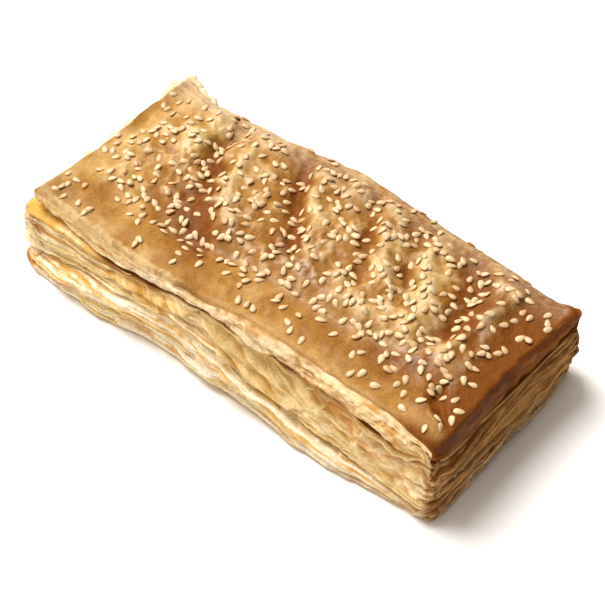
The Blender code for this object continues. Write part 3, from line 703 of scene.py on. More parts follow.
def crust_colour(x, y, crease, edge):
    """Baked colour of the crust: gold, cream on the ridges, brown in the valleys and on the rims, with
    painted light, shade and sheen over it.
    """
    # what the crust's shape does
    fold = folds(x, y, edge) / MM
    valley, ridge = np.clip(-fold / 3, 0, 1), np.clip(fold / 1.4, 0, 1)
    inside = inside_swell(x, y)
    knob = puckers(x, y) * (0.3 + 0.7 * inside)
    torn, leaves = torn_end(x, y, edge)
    # uneven baking
    spots = baked_spots(x, y)
    blotch = lumps(x, y, 13 * MM, 31) * 0.4 + lumps(x, y, 5 * MM, 32) * 0.6
    speckle = 0.6 * grain((x + 0.6 * y) / (1.7 * MM) + 120, (y - 0.6 * x) / (1.7 * MM) + 100, 33)
    speckle = speckle + 0.5 * grain((x - 0.4 * y) / (0.8 * MM) + 200, (y + 0.4 * x) / (0.8 * MM) + 128, 36)
    # Painted highlights on the tops of the knobs, away from the valleys.
    knob_highlight = smoothstep(0.15, 0.75, knob + 0.35 * speckle + 0.2 * ridge) * inside * (1 - 0.8 * valley)
    # places on the crust
    leftward = smoothstep(-25 * MM, -70 * MM, x)
    rightward = smoothstep(-70 * MM, 75 * MM, x)
    near_rim = smoothstep(-19 * MM, -27 * MM, y)
    far_rim = smoothstep(25 * MM, 34 * MM, y)
    right_rim = smoothstep(60 * MM, 78 * MM, x)
    rim_line = smoothstep(4 * MM, 0.5 * MM, edge)
    near_edge = near_rim * smoothstep(8 * MM, 1 * MM, edge) * smoothstep(10 * MM, -30 * MM, x)
    near_right = smoothstep(-16 * MM, -30 * MM, y) * smoothstep(50 * MM, 70 * MM, x)
    near_line = near_rim * smoothstep(3.5 * MM, 1 * MM, edge)
    near_line = near_line * smoothstep(-14 * MM, -4 * MM, x) * smoothstep(72 * MM, 56 * MM, x)
    flaked = near_rim * smoothstep(2.6 * MM, 1.2 * MM, edge)
    flaked = flaked * smoothstep(-10 * MM, -30 * MM, x) * smoothstep(-83 * MM, -75 * MM, x)
    # Fine cracks on the far rim, drawn paler and tinted with the painted sheen.
    crackle_and_sheen = ridged(grain(x / (2.4 * MM) + 80, y / (1.3 * MM) + 60, 34)) * far_rim
    plateau = bell(x, 32 * MM, 26 * MM) * bell(y, -8 * MM, 7 * MM)
    corner_spot = bell(x, 53 * MM, 6 * MM) * bell(y, -17 * MM, 4 * MM)
    left_corner = bell(x, -76 * MM, 9 * MM) * bell(y, -33 * MM, 7 * MM)
    # what stayed pale, and what baked brown; the brown of valleys and dimples is partly real browning and
    # partly painted shade, the cream of ridges and knobs partly a painted highlight
    pale = 0.1 * inside + 0.4 * ridge + 0.4 * plateau + 0.45 * blotch + 0.5 * crease - 0.6 * valley
    pale = pale + 0.6 * knob + 0.1 * leftward + 0.4 * near_edge * (1 + speckle)
    pale = pale + 0.5 * crackle_and_sheen - 0.6 * spots
    brown = 0.12 + 0.85 * valley + 0.25 * rightward + 0.75 * right_rim + 0.4 * left_corner + 0.15 * far_rim
    brown = brown + 0.45 * corner_spot + 0.12 * speckle + 0.3 * rim_line + 0.6 * spots
    brown = brown - 0.35 * knob - 0.25 * blotch - 0.2 * ridge - 0.25 * plateau - 0.3 * near_right
    colour = blend(CRUST_GOLD, CRUST_CREAM, pale)
    colour = tint(colour, CRUST_BROWN, brown)
    # thin tints over it: a painted sheen on the far rim, over its fine cracks and in the groove, painted
    # highlights on the knobs, then straw and flaked cream on the near rim
    # Painted sheen: a pale violet reflection of the room on the far rim and in the groove.
    painted_sheen = smoothstep(19 * MM, 32 * MM, y) * (0.42 - 0.28 * smoothstep(-42 * MM, -16 * MM, x))
    painted_sheen = painted_sheen + 0.25 * groove_share(x, y, 3 * MM) * rightward
    colour = tint(colour, PAINTED_SHEEN_MAUVE, painted_sheen + 0.3 * crackle_and_sheen)
    colour = tint(colour, KNOB_HIGHLIGHT, 0.5 * knob_highlight)
    colour = tint(colour, NEAR_RIM_STRAW, 0.35 * near_line)
    colour = tint(colour, FLAKED_RIM_CREAM, 0.7 * flaked * (0.7 + 0.6 * speckle))
    return mix(colour, torn_colour(y, leaves), torn)


def fins(distance, height, seed):
    """Ragged tips of leaves at a corner: saw teeth up the wall, each of its own length, 0 to 1."""
    phase = height / (2.4 * MM) + 1.6 * round_grain(distance, 6 * MM, height / (6 * MM) + 30, seed)
    length = 0.5 + 0.5 * round_grain(distance, 4 * MM, np.floor(phase) + 0.5, seed + 1)
    return (phase - np.floor(phase)) * length


def corner_share(distance):
    """1 at the corners of the outline, falling to 0 within 8 mm of them."""
    corners = np.array([0, LENGTH, LENGTH + WIDTH, 2 * LENGTH + WIDTH, ROUND])
    gap = np.abs(np.mod(distance, ROUND)[..., None] - corners).min(-1)
    return smoothstep(8 * MM, 0.5 * MM, gap)


def ring_faces(first_index, rows, columns, start=None):
    """Quads between rows of points round the outline, facing outward; start is a loop above the first."""
    index = first_index + np.arange(rows * columns).reshape(rows, columns)
    if start is not None:
        index = np.vstack([start, index])
    upper, lower = index[:-1], index[1:]
    quads = np.stack([upper, lower, np.roll(lower, -1, 1), np.roll(upper, -1, 1)], -1)
    return quads.reshape(-1, 4), index[0], index[-1]


def baked_dough(name, shine, bump_height, translucent, scatter):
    """Baked puff dough: dull and a little translucent, with a clear coat where egg was brushed on.

    Points carry its baked colour and how much egg wash lies there. Grain of 2.6 mm and 0.7 mm
    varies the colour, and the finer grain is a shallow bump too. The real dough is porous down
    to a tenth of a millimetre, too fine to show, so its grain is drawn coarser. Shine is how
    much the bare dough reflects, and translucent and scatter how much light enters and how deep.
    """
    material = bpy.data.materials.new(name)
    material.use_nodes = True
    tree = material.node_tree
    shader = tree.nodes["Principled BSDF"]
    where = add_node(tree, "ShaderNodeTexCoord").outputs["Object"]
    baked = add_node(tree, "ShaderNodeAttribute", attribute_name="baked").outputs["Color"]
    washed = add_node(tree, "ShaderNodeAttribute", attribute_name="washed").outputs["Fac"]
    shades = []
    for size, detail, low, high in ((2.6 * MM, 4, 0.86, 1.12), (0.7 * MM, 3, 0.84, 1.14)):
        noise = add_node(tree, "ShaderNodeTexNoise", {"Vector": where, "Scale": 1 / size, "Detail": detail})
        ranges = {"From Min": 0.3, "From Max": 0.7, "To Min": low, "To Max": high}
        shade = add_node(tree, "ShaderNodeMapRange", {"Value": noise.outputs["Fac"], **ranges})
        shades.append(shade.outputs["Result"])
    both = add_node(tree, "ShaderNodeMath", {0: shades[0], 1: shades[1]}, operation="MULTIPLY")
    tinted = add_node(
        tree, "ShaderNodeVectorMath", {0: baked, "Scale": both.outputs["Value"]}, operation="SCALE"
    )
    relief = {"Height": noise.outputs["Fac"], "Strength": 0.9, "Distance": bump_height}
    bump = add_node(tree, "ShaderNodeBump", relief)
    tree.links.new(tinted.outputs["Vector"], shader.inputs["Base Color"])
    tree.links.new(washed, shader.inputs["Coat Weight"])
    tree.links.new(bump.outputs["Normal"], shader.inputs["Normal"])
    shader.inputs["Roughness"].default_value = 0.6
    shader.inputs["IOR"].default_value = 1.46
    shader.inputs["Specular IOR Level"].default_value = shine
    shader.inputs["Coat Roughness"].default_value = 0.26
    shader.inputs["Coat IOR"].default_value = 1.45
    shader.inputs["Subsurface Weight"].default_value = translucent
    shader.inputs["Subsurface Radius"].default_value = (1.0, 0.88, 0.72)
    shader.inputs["Subsurface Scale"].default_value = scatter
    return material


def dress(piece, colours, washed):
    """Gives a piece its point colours and egg wash, and ties it to the pastry it stands for."""
    count = len(piece.data.vertices)
    rgba = np.ones((count, 4), np.float32)
    rgba[:, :3] = colours
    piece.data.attributes.new("baked", "FLOAT_COLOR", "POINT").data.foreach_set("color", rgba.ravel())
    wash = np.broadcast_to(washed, count).astype(np.float32)
    piece.data.attributes.new("washed", "FLOAT", "POINT").data.foreach_set("value", wash)
    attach(piece, "root")
    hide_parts("boureka")


grid_u, grid_v = np.meshgrid(np.linspace(-1, 1, GRID_LONG + 1), np.linspace(-1, 1, GRID_WIDE + 1))
crust, crust_x, crust_y, crust_crease, crust_edge = crust_surface(grid_u.ravel(), grid_v.ravel())
crust_index = np.arange(crust.shape[0]).reshape(GRID_WIDE + 1, GRID_LONG + 1)
crust_faces = np.stack(
    [crust_index[:-1, :-1], crust_index[:-1, 1:], crust_index[1:, 1:], crust_index[1:, :-1]], -1
).reshape(-1, 4)
crust_rim = np.concatenate(
    [crust_index[0, :-1], crust_index[:-1, -1], crust_index[-1, :0:-1], crust_index[:0:-1, 0]]
)
COLUMNS = len(crust_rim)
column_walk = np.concatenate(
    [
        np.arange(GRID_LONG) / GRID_LONG * LENGTH,
        LENGTH + np.arange(GRID_WIDE) / GRID_WIDE * WIDTH,
        LENGTH + WIDTH + np.arange(GRID_LONG) / GRID_LONG * LENGTH,
        2 * LENGTH + WIDTH + np.arange(GRID_WIDE) / GRID_WIDE * WIDTH,
    ]
)


def wall_rows(levels):
    """Flat lists of places round the outline and levels, row by row from the top."""
    walk = np.tile(column_walk, len(levels))
    level = np.repeat(np.asarray(levels), COLUMNS)
    return walk, level


def facing_shares(distance):
    """Places x and y, and how far the outline faces the near side, the right and the left end."""
    x, y, normal_x, normal_y, _ = outline(distance)
    near, left = smoothstep(0.4, 0.9, -normal_y), smoothstep(0.4, 0.9, -normal_x)
    return x, y, near, smoothstep(0.15, 0.6, normal_x), left


def facing_up(relief):
    """How much relief over the wall grows from each row to the next one below it."""
    return np.gradient(relief.reshape(-1, COLUMNS), axis=0).ravel()


def slit_colour(distance):
    """Inside the slit, painted light and shade: a painted amber glow of light through thin dough by the
    near left corner, and painted shade in the rest.
    """
    x, y, near, _, left = facing_shares(distance)
    glow = np.maximum(near * smoothstep(-46 * MM, -60 * MM, x), left * smoothstep(15 * MM, -15 * MM, y))
    return blend("#7c4a18", "#dbaa4e", glow), glow


BAND_LEVELS = np.concatenate([np.linspace(CREST, LIP, 37)[1:], np.linspace(LIP, SLIT, 9)[1:]])
BAND_THICKNESS = 6.5 * MM
LIP_DRAWN_IN = 0.8 * MM
LIP_RAISED = 0.6 * MM
CRACK_DEPTH = 0.8 * MM
walk, level = wall_rows(BAND_LEVELS)
out, height = wall_at(walk, level)
x, y, near, right_end, _ = facing_shares(walk)
leaves = strata(walk, level / LIP * BAND_THICKNESS, TOP_LEAVES_RANDOM)
showing = smoothstep(0.3, 1.0, level) * smoothstep(SLIT, LIP, level)

# Along the near side the cut edge is flaky at the left and whitish near the middle, then a
# thin skin folded into pleats, and crumbly at the right.
flaky = near * smoothstep(-6 * MM, -14 * MM, x)
whitish = near * bell(x, -24 * MM, 16 * MM)
crumbly = near * smoothstep(34 * MM, 42 * MM, x)
folded = near * smoothstep(-10 * MM, -2 * MM, x) * (1 - crumbly)
bend = 1.2 * MM * round_grain(walk, 3 * MM, height / (3 * MM) + 70, 46)
crumb = 0.5 * round_grain(walk + bend, 1.3 * MM, (height + bend) / (0.9 * MM) + 9, 45)
crumb = crumb + 0.6 * round_grain(walk - bend, 3.1 * MM, (height + bend) / (2.3 * MM) + 9, 47)
skewed = walk + 1.4 * height + 3 * MM * round_grain(walk, 9 * MM, height / (5 * MM) + 9, 40)
pleat = 0.6 * ridged(round_grain(skewed, 6 * MM, (height - 0.3 * x) / (3.4 * MM) + 40, 48))
pleat = pleat + 0.4 * ridged(round_grain(skewed, 2.6 * MM, (height - 0.3 * x) / (1.7 * MM) + 40, 39))
out = out + showing * (0.7 - 0.4 * crumbly - 0.4 * folded - 0.4 * flaky) * (leaves - 0.4) * MM
out = out + showing * (0.14 + 0.45 * crumbly + 0.1 * flaky) * crumb * MM
out = out + showing * folded * (pleat - 0.4) * MM

# Right of the middle the lip curls up and in, so that the slit shows. By the near right corner
# a short crack runs along the edge, and at the corners the leaves' tips stick out.
parted = near * smoothstep(1.6, 3, level) * smoothstep(SLIT, LIP, level)
parted = parted * smoothstep(16 * MM, 26 * MM, x) * smoothstep(72 * MM, 58 * MM, x)
crack = near * bell(level, 1 + 0.3 * crumb, 0.14) * smoothstep(72 * MM, 76 * MM, x)
corner = corner_share(walk)
out, height = out - LIP_DRAWN_IN * parted, height + LIP_RAISED * parted
tips = fins(walk, height, 49)
out = out + corner * showing * (1.4 * tips - 0.6 + 0.4 * crumb) * MM - CRACK_DEPTH * crack
band = place(walk, out, height)

# Painted light and shade: leaf edges and faces turned up are coloured paler, and gaps and undersides deeper
# gold, on the crumbs, flakes and pleats too.
lit = leaves + 1.8 * facing_up(leaves)
band_colour = blend("#c08428", "#ecd6a8", smoothstep(0.2, 0.75, lit + 0.35 * crumb))
crumb_colour = blend("#c6934c", "#efdcb2", 0.48 + 0.6 * crumb + 0.4 * (lit - 0.5))
flake_colour = blend("#c08a40", "#ead19e", 0.55 + 0.4 * crumb + 0.8 * (lit - 0.5))
flake_colour = tint(flake_colour, "#f2e4ca", whitish * (0.6 + 0.5 * crumb))
skin_colour = blend("#bf9156", "#dfc8a0", smoothstep(0, 0.55, pleat + 0.8 * facing_up(pleat)))
band_colour = mix(band_colour, crumb_colour, 0.9 * crumbly)
band_colour = mix(band_colour, flake_colour, 0.9 * flaky)
band_colour = mix(band_colour, skin_colour, 0.9 * folded)

# Painted shade: right of the middle the lip's lower edge is coloured browner, and so are two wedges that
# reach higher, where the slit shades the band.
wedges = 0.5 * bell(x, 0, 7 * MM) + bell(x, 27 * MM, 5 * MM)
painted_lip_shade = smoothstep(2.4, 2.8, level + 0.15 * crumb)
painted_lip_shade = painted_lip_shade * smoothstep(14 * MM, 24 * MM, x) * smoothstep(62 * MM, 50 * MM, x)
painted_lip_shade = np.maximum(painted_lip_shade, wedges * smoothstep(1.2, 2.2, level + 0.3 * crumb))
band_colour = tint(band_colour, "#ac7636", 0.65 * near * painted_lip_shade)
# A painted dark line of shade in the crack by the near right corner.
band_colour = tint(band_colour, "#6a3414", crack)
band_colour = mix(band_colour, torn_colour(y, lit), right_end)
# Below the lip, the slit's painted glow and painted shade.
band_colour = mix(band_colour, slit_colour(walk)[0], smoothstep(LIP - 0.1, LIP + 0.6, level))

# The crust's own colour comes over the edge a little, and furthest at the left.
roll_end = 0.4 + 0.7 * smoothstep(0, -30 * MM, x) + 0.4 * round_grain(walk, 6 * MM, level * 0 + 2, 38)
rolled_over = smoothstep(roll_end, roll_end - 0.6, level) * (1 - right_end)
rim_colour = blend("#b98a44", "#d8b684", np.maximum(0.7 * flaky + 0.3 * whitish, crumbly))
band_colour = mix(band_colour, rim_colour, rolled_over)

faces, _, last_ring = ring_faces(len(crust), len(BAND_LEVELS), COLUMNS, crust_rim)
all_faces = [*crust_faces.tolist(), *faces.tolist(), last_ring[::-1].tolist()]
crust_paint = crust_colour(crust_x, crust_y, crust_crease, crust_edge)
egg_washed = baked_dough(
    "egg_washed_puff_dough", shine=0.12, bump_height=0.25 * MM, translucent=0.15, scatter=1 * MM
)
top_sheet = add_mesh("top_sheet", np.vstack([crust, band]), all_faces, egg_washed)
brushed = (0.25 + 0.75 * inside_swell(crust_x, crust_y)) * smoothstep(2 * MM, 10 * MM, crust_edge)
raised = smoothstep(-1.5, 1.5, folds(crust_x, crust_y, crust_edge) / MM + puckers(crust_x, crust_y))
wash = np.concatenate([brushed * (0.06 + 0.64 * raised), np.zeros(len(band))])
dress(top_sheet, np.vstack([crust_paint, band_colour]), wash)

# ---------------------------------------------------------------- middle sheets
#
# Under the slit the folded dough rose into a stack of thin leaves. At the left their cut
# edges show, in the middle smooth leaves hang down over them, and at the right a thin skin
# of dough blew up into blisters.

MIDDLE_LEVELS = np.concatenate(
    [np.linspace(SLIT, SHOULDER, 8), np.linspace(SHOULDER, 9, 80)[1:], np.linspace(9, SEAM, 12)[1:]]
)
MIDDLE_THICKNESS = 13 * MM
MIDDLE_LEAVES_RANDOM = 500
# The lower edges of two leaves that cover part of the near side: places along it, and levels.
HANGING_LEAF = (
    mm(-8, -4, 0, 3, 9, 14, 21, 28, 34, 40, 46),
    (5, 7.6, 8.2, 9.2, 9.9, 10, 9.9, 9.3, 8.4, 7, 5),
)
SMOOTH_LEAF = (mm(-58, -51, -44, -31, -22, -14, -6), (5, 6.2, 7.2, 8.7, 8.7, 7.6, 5))


def fin_colour(colour, corner, tips, pale):
    """Tints the leaves at the corners with painted shade and light: brown in the gaps between the tips, and
    a pale painted highlight on the tips.
    """
    colour = tint(colour, "#b0702c", corner * smoothstep(0.35, 0.15, tips))
    return tint(colour, pale, corner * smoothstep(0.45, 0.65, tips))


def end_colour(colour, lit, y):
    """Colours of the right end's leaves: those given, drawn towards paler ones by the near corner, where
    lit makes leaf edges paler and gaps darker as painted light and shade.
    """
    by_corner = blend("#9c5f28", "#e4bc80", smoothstep(0.3, 0.7, lit))
    return mix(colour, by_corner, 0.8 * smoothstep(-20 * MM, -35 * MM, y))


walk, level = wall_rows(MIDDLE_LEVELS)
out, height = wall_at(walk, level)
x, y, near, right_end, left_end = facing_shares(walk)
depth = (level - SHOULDER) / (SEAM - SHOULDER) * MIDDLE_THICKNESS
leaves = strata(walk, depth, MIDDLE_LEAVES_RANDOM)
bundle = round_grain(walk, 50 * MM, depth / (3 * MM) + 20, 51)
showing = smoothstep(SHOULDER - 0.3, SHOULDER + 0.4, level) * smoothstep(SEAM, 9.3, level)

# Where leaves hang down, lie smooth or are blown up into blisters, and where cut edges show.
hanging_edge, smooth_edge = through(x, *HANGING_LEAF), through(x, *SMOOTH_LEAF)
hanging = near * smoothstep(hanging_edge + 0.05, hanging_edge - 0.05, level)
smooth = near * smoothstep(smooth_edge + 0.05, smooth_edge - 0.2, level)
blistered = near * smoothstep(28 * MM, 36 * MM, x) * smoothstep(84 * MM, 76 * MM, x) * (1 - hanging)
elsewhere = smoothstep(0.4, 0.9, grain(walk / ROUND * 9, walk * 0 + 3, 60, 9)) * (1 - near)
blistered = np.maximum(blistered, 0.7 * elsewhere)
open_leaves = (1 - 0.92 * hanging) * (1 - 0.85 * smooth) * (1 - 0.9 * blistered)
draped = hanging * (0.3 + 0.6 * smoothstep(44 * MM, 26 * MM, x)) + 0.5 * smooth

# Waves, creases and fibres of the leaves run down to the right, and blisters are roundish.
slanted = walk + 1.9 * height
downhill = round_grain(slanted, 13 * MM, (height + 0.53 * x) / (2.4 * MM) + 60, 58)
creased = ridged(round_grain(slanted, 12 * MM, (height + 0.53 * x) / (1.7 * MM) + 60, 61))
fibre = round_grain(slanted, 7 * MM, (height + 0.4 * x) / (0.8 * MM) + 120, 36)
mottle = round_grain(walk, 3.2 * MM, height / (2.4 * MM) + 9, 35)
bent = walk + 2.5 * MM * round_grain(walk, 8 * MM, height / (7 * MM) + 9, 37)
bubble = 0.6 * round_grain(bent, 4.6 * MM, height / (3 * MM) + 9, 54)
bubble = bubble + 0.45 * round_grain(bent, 1.9 * MM, height / (1.3 * MM) + 9, 55)
out = out + showing * open_leaves * (0.65 * (leaves - 0.4) + 0.4 * bundle) * MM
out = out + showing * blistered * 0.8 * bubble * MM
out = out + showing * draped * (1 + 0.75 * downhill) * MM
out = out + showing * np.maximum(hanging, smooth) * (0.22 * mottle + 0.14 * fibre + 0.4 * creased) * MM
corner = corner_share(walk)
ragged = round_grain(walk, 1.3 * MM, height / (1.5 * MM) + 30, 57)
tips = fins(walk, height, 59)
out = out + corner * showing * (1.6 * tips - 0.5 + 0.6 * ragged + 2 * left_end * tips) * MM

# Where light gets into the slit, the shelf under it is crossed by thin leaves.
amber, glow = slit_colour(walk)
shelf = smoothstep(SLIT + 0.2, SHOULDER - 0.2, level) * smoothstep(SHOULDER + 0.3, SHOULDER, level)
shelf_leaves = ridged(round_grain(walk, 22 * MM, level * 4 + 10, 33))
height = height + glow * shelf * (0.4 + 0.9 * shelf_leaves) * MM
middle = place(walk, out, height)

tone = round_grain(walk, 18 * MM, depth / (1.6 * MM) + 5, 56)
# Painted light and shade: leaf edges and faces turned up are coloured paler, and gaps and undersides deeper
# gold.
lit = leaves + 1.5 * facing_up(leaves)
pale_end = near * bell(x, -76 * MM, 15 * MM) * smoothstep(7.2, 8.6, level)
lit_share = smoothstep(0.1, 0.75, lit + 0.12 * tone) + 0.35 * pale_end
middle_colour = blend("#c68e3e", "#f0dab0", lit_share)
middle_colour = fin_colour(middle_colour, corner, tips + 0.15 * ragged, "#f0dfb6")
gold_share = 0.3 + 0.4 * downhill + 0.3 * mottle + 0.35 * fibre + 0.3 * creased
gold_share = gold_share + 0.4 * smoothstep(20 * MM, 36 * MM, x) * hanging
leaf_gold = blend("#c49240", "#edd49c", gold_share)
middle_colour = mix(middle_colour, leaf_gold, np.maximum(hanging, 0.9 * smooth))
# Painted light and shade on the blisters: faces turned up are paler, and just under the lip, in its shadow,
# they are darker.
blister_share = 0.55 + 0.8 * bubble + 1.7 * facing_up(bubble) + 0.15 * tone + 0.2 * fibre
blister_share = blister_share - 0.4 * smoothstep(7.6, 6, level)
middle_colour = mix(middle_colour, blend("#c4893a", "#f0daac", blister_share), 0.9 * blistered)
# A painted highlight along the lower edge of the hanging leaf.
leaf_edge_highlight = near * bell(level, hanging_edge, 0.12) * smoothstep(5.2, 5.8, hanging_edge)
middle_colour = tint(middle_colour, "#edd69c", 0.8 * leaf_edge_highlight)

# Painted shadow under the slit: the dough is coloured browner right of the middle, furthest down in a
# pocket, and a little in a patch at the left. Between the two lies a pale torn skin.
shade_edge = 5.75 + 0.35 * round_grain(walk, 7 * MM, walk * 0 + 3, 65) + 1.2 * bell(x, 40 * MM, 7 * MM)
painted_slit_shadow = smoothstep(shade_edge, shade_edge - 0.5, level + 0.2 * mottle)
painted_slit_shadow = painted_slit_shadow * smoothstep(12 * MM, 22 * MM, x)
painted_slit_shadow = painted_slit_shadow + 0.5 * smoothstep(6.2, 5.4, level) * bell(x, -32 * MM, 10 * MM)
middle_colour = tint(middle_colour, "#a0662a", 0.65 * near * painted_slit_shadow)
torn_skin = near * bell(x, -13 * MM, 7 * MM) * smoothstep(6.3, 5.6, level + 0.2 * mottle)
middle_colour = tint(middle_colour, "#ecd8b4", 0.5 * torn_skin)

# Painted shade at the right end, which faces away from the lamp: its leaves are coloured dark brown, partly
# baked colour and partly painted shade, darkest near the top and across the middle.
end_light = 1.25 - 0.25 * bell(y, 6 * MM, 17 * MM) - 0.3 * smoothstep(6.6, 5.4, level)
shaded_share = smoothstep(0.25, 0.75, lit + 0.1 * smoothstep(7.5, 9.5, level))
shaded_end = blend("#6a3c12", "#ba8646", shaded_share) * end_light[:, None]
middle_colour = mix(middle_colour, end_colour(shaded_end, lit + 0.3 * ragged, y), 0.95 * right_end)
# The shelf under the slit takes the slit's painted glow and painted shade.
amber_share = smoothstep(SHOULDER + 0.35, SHOULDER - 0.2, level + glow * 0.5 * shelf_leaves)
middle_colour = mix(middle_colour, amber, amber_share)

faces, first_ring, last_ring = ring_faces(0, len(MIDDLE_LEVELS), COLUMNS)
all_faces = [first_ring.tolist(), *faces.tolist(), last_ring[::-1].tolist()]
torn_dough = baked_dough(
    "torn_puff_dough", shine=0.05, bump_height=0.2 * MM, translucent=0.45, scatter=0.8 * MM
)
middle_sheets = add_mesh("middle_sheets", middle, all_faces, torn_dough)
dress(middle_sheets, middle_colour, 0.1 * np.maximum(np.maximum(hanging, smooth), blistered))

# ---------------------------------------------------------------- bottom sheet
#
# The bottom sheet carried the weight and baked against the tray, so it is flatter and flares
# outward, with pale crumbling leaves above and a browned foot.

BOTTOM_LEVELS = np.concatenate([np.linspace(SEAM, 11, 16), np.linspace(11, FOOT, 84)[1:]])
BOTTOM_THICKNESS = 11 * MM
BOTTOM_LEAVES_RANDOM = 600
walk, level = wall_rows(BOTTOM_LEVELS)
out, height = wall_at(walk, level)
x, y, near, right_end, _ = facing_shares(walk)
depth = (level - SEAM) / (FOOT - SEAM) * BOTTOM_THICKNESS
leaves = strata(walk, depth, BOTTOM_LEAVES_RANDOM)
bundle = round_grain(walk, 44 * MM, depth / (2.6 * MM) + 20, 81)
showing = smoothstep(SEAM, SEAM + 0.35, level) * smoothstep(FOOT, FOOT - 0.3, level)
crumb = 0.6 * round_grain(walk, 1.2 * MM, height / (1.1 * MM) + 30, 68)
crumb = crumb + 0.6 * round_grain(walk, 2.8 * MM, height / (2.3 * MM) + 30, 69)
out = out + showing * (0.6 * (leaves - 0.4) + 0.35 * bundle + 0.14 * crumb) * MM
corner = corner_share(walk)
tips = fins(walk, height, 59)
out = out + corner * showing * (1.6 * tips - 0.5 + 0.6 * crumb) * MM
bottom = place(walk, out, height)

# The near side has a pale ledge at the left and a pale ridge along its upper edge. The foot
# is browner towards the right, and the near side is so by the near left corner too.
tone = round_grain(walk, 16 * MM, depth / (1.6 * MM) + 5, 66)
# Painted light and shade: leaf edges and faces turned up are coloured paler, and gaps and undersides deeper
# gold.
lit = leaves + 1.8 * facing_up(leaves)
ledge = near * bell(x, -48 * MM, 17 * MM) * smoothstep(11, 11.5, level) * smoothstep(13, 12.4, level)
ridge = near * bell(level, 10.5, 0.4) * smoothstep(-40 * MM, -28 * MM, x) * smoothstep(62 * MM, 48 * MM, x)
browned_foot = smoothstep(12.4, 13.6, level) * smoothstep(-24 * MM, 0, x)
browned_lip = near * smoothstep(-74 * MM, -83 * MM, x) * smoothstep(11, 12.5, level)
lit_share = smoothstep(0.1, 0.8, lit + 0.12 * tone + 0.15 * crumb) + 0.35 * ledge
bottom_colour = blend("#d09e54", "#f6ecd2", lit_share)
bottom_colour = tint(bottom_colour, "#b07c30", 0.5 * browned_foot)
bottom_colour = tint(bottom_colour, "#b4762c", 0.7 * browned_lip)
bottom_colour = fin_colour(bottom_colour, corner, tips + 0.15 * crumb, "#f0e2be")
bottom_colour = tint(bottom_colour, "#f0e2be", 0.6 * ridge * (0.6 + crumb))
shaded_end = blend("#98622e", "#f0c892", smoothstep(0.25, 0.75, lit))
bottom_colour = mix(bottom_colour, end_colour(shaded_end, lit + 0.3 * crumb, y), 0.95 * right_end)

faces, first_ring, last_ring = ring_faces(0, len(BOTTOM_LEVELS), COLUMNS)
all_faces = [first_ring.tolist(), *faces.tolist(), last_ring[::-1].tolist()]
bottom_sheet = add_mesh("bottom_sheet", bottom, all_faces, torn_dough)
dress(bottom_sheet, bottom_colour, 0)

# ---------------------------------------------------------------- loose leaves
#
# Single leaves of dough, about a quarter of a millimetre thick, that stand off the walls:
# rooted in them along one edge, frayed along the other, and fading out at both ends.

LEAF_COLUMNS = 48
LEAF_ROWS = 5
LEAF_THICKNESS = 0.28 * MM
FLOOR_GAP = 0.1 * MM
LEAF_COUNT = 110
LEAF_LEVELS = (10.1, 8.6, 5.3, 6, 7, 8, 9, 9.7, 10.4, 11, 11.7, 12.4, 13.1)
LEAF_ROOTED = 0.7 * MM
LEAF_RAISED = 0.2 * MM
LEAF_STANDS_OUT = 0.3 * MM
LOOSE_LEAVES_RANDOM = 90
FLAKE_COUNT = 44  # of the leaves, short ones on the rim, from the far left corner along the left end


def leaf_strips(root_out, root_height, free_out, free_height, bow):
    """Outsets and heights of closed thin sheets, for each leaf, column and point round its section.

    The section runs from the root to the free edge as root + (free - root) * t, bowed out by
    bow * sin(pi * t), and back again one thickness under it.
    """
    t = np.linspace(0, 1, LEAF_ROWS)
    chord_out, chord_height = (free_out - root_out)[..., None], (free_height - root_height)[..., None]
    long = np.maximum(np.hypot(chord_out, chord_height), 1e-6)
    under_out, under_height = chord_height / long, -chord_out / long
    bowed = bow[..., None] * np.sin(math.pi * t)
    out = root_out[..., None] + chord_out * t - under_out * bowed
    height = root_height[..., None] + chord_height * t - under_height * bowed
    thick = LEAF_THICKNESS * (1 - 0.5 * t)
    back_out, back_height = out + under_out * thick, height + under_height * thick
    out = np.concatenate([out, back_out[..., ::-1]], -1)
    height = np.concatenate([height, back_height[..., ::-1]], -1)
    return out, np.maximum(height, FLOOR_GAP)


def leaf_faces(count):
    """Quads and end faces of that many strips of LEAF_COLUMNS sections, facing outward."""
    round_section = 2 * LEAF_ROWS
    index = np.arange(count * LEAF_COLUMNS * round_section).reshape(count, LEAF_COLUMNS, round_section)
    turned = np.roll(index, -1, 2)
    quads = np.stack([index[:, :-1], turned[:, :-1], turned[:, 1:], index[:, 1:]], -1).reshape(-1, 4)
    return [*quads.tolist(), *index[:, 0, ::-1].tolist(), *index[:, -1].tolist()]


draw = np.random.default_rng(LOOSE_LEAVES_RANDOM)
on_near_side = draw.random(LEAF_COUNT) < 0.5
near_place, any_place = draw.uniform(0, LENGTH, LEAF_COUNT), draw.uniform(0, ROUND, LEAF_COUNT)
middle_of_leaf = np.where(on_near_side, near_place, any_place)
half = draw.uniform(6, 22, LEAF_COUNT) * MM
base_level = draw.choice(LEAF_LEVELS, LEAF_COUNT)
slant = draw.uniform(-0.8, 0.8, LEAF_COUNT)
reach = draw.uniform(0.6, 1.7, LEAF_COUNT) * MM
droop = np.radians(draw.uniform(45, 85, LEAF_COUNT))
flakes = slice(0, FLAKE_COUNT)
middle_of_leaf[flakes] = draw.uniform(2 * LENGTH + 0.8 * WIDTH, 2 * LENGTH + 1.7 * WIDTH, FLAKE_COUNT)
half[flakes] = draw.uniform(1.5, 5, FLAKE_COUNT) * MM
base_level[flakes] = draw.uniform(0.1, 1, FLAKE_COUNT)
slant[flakes] *= 0.3
reach[flakes] = draw.uniform(0.8, 3.2, FLAKE_COUNT) * MM
droop[flakes] = np.radians(draw.uniform(-25, 30, FLAKE_COUNT))

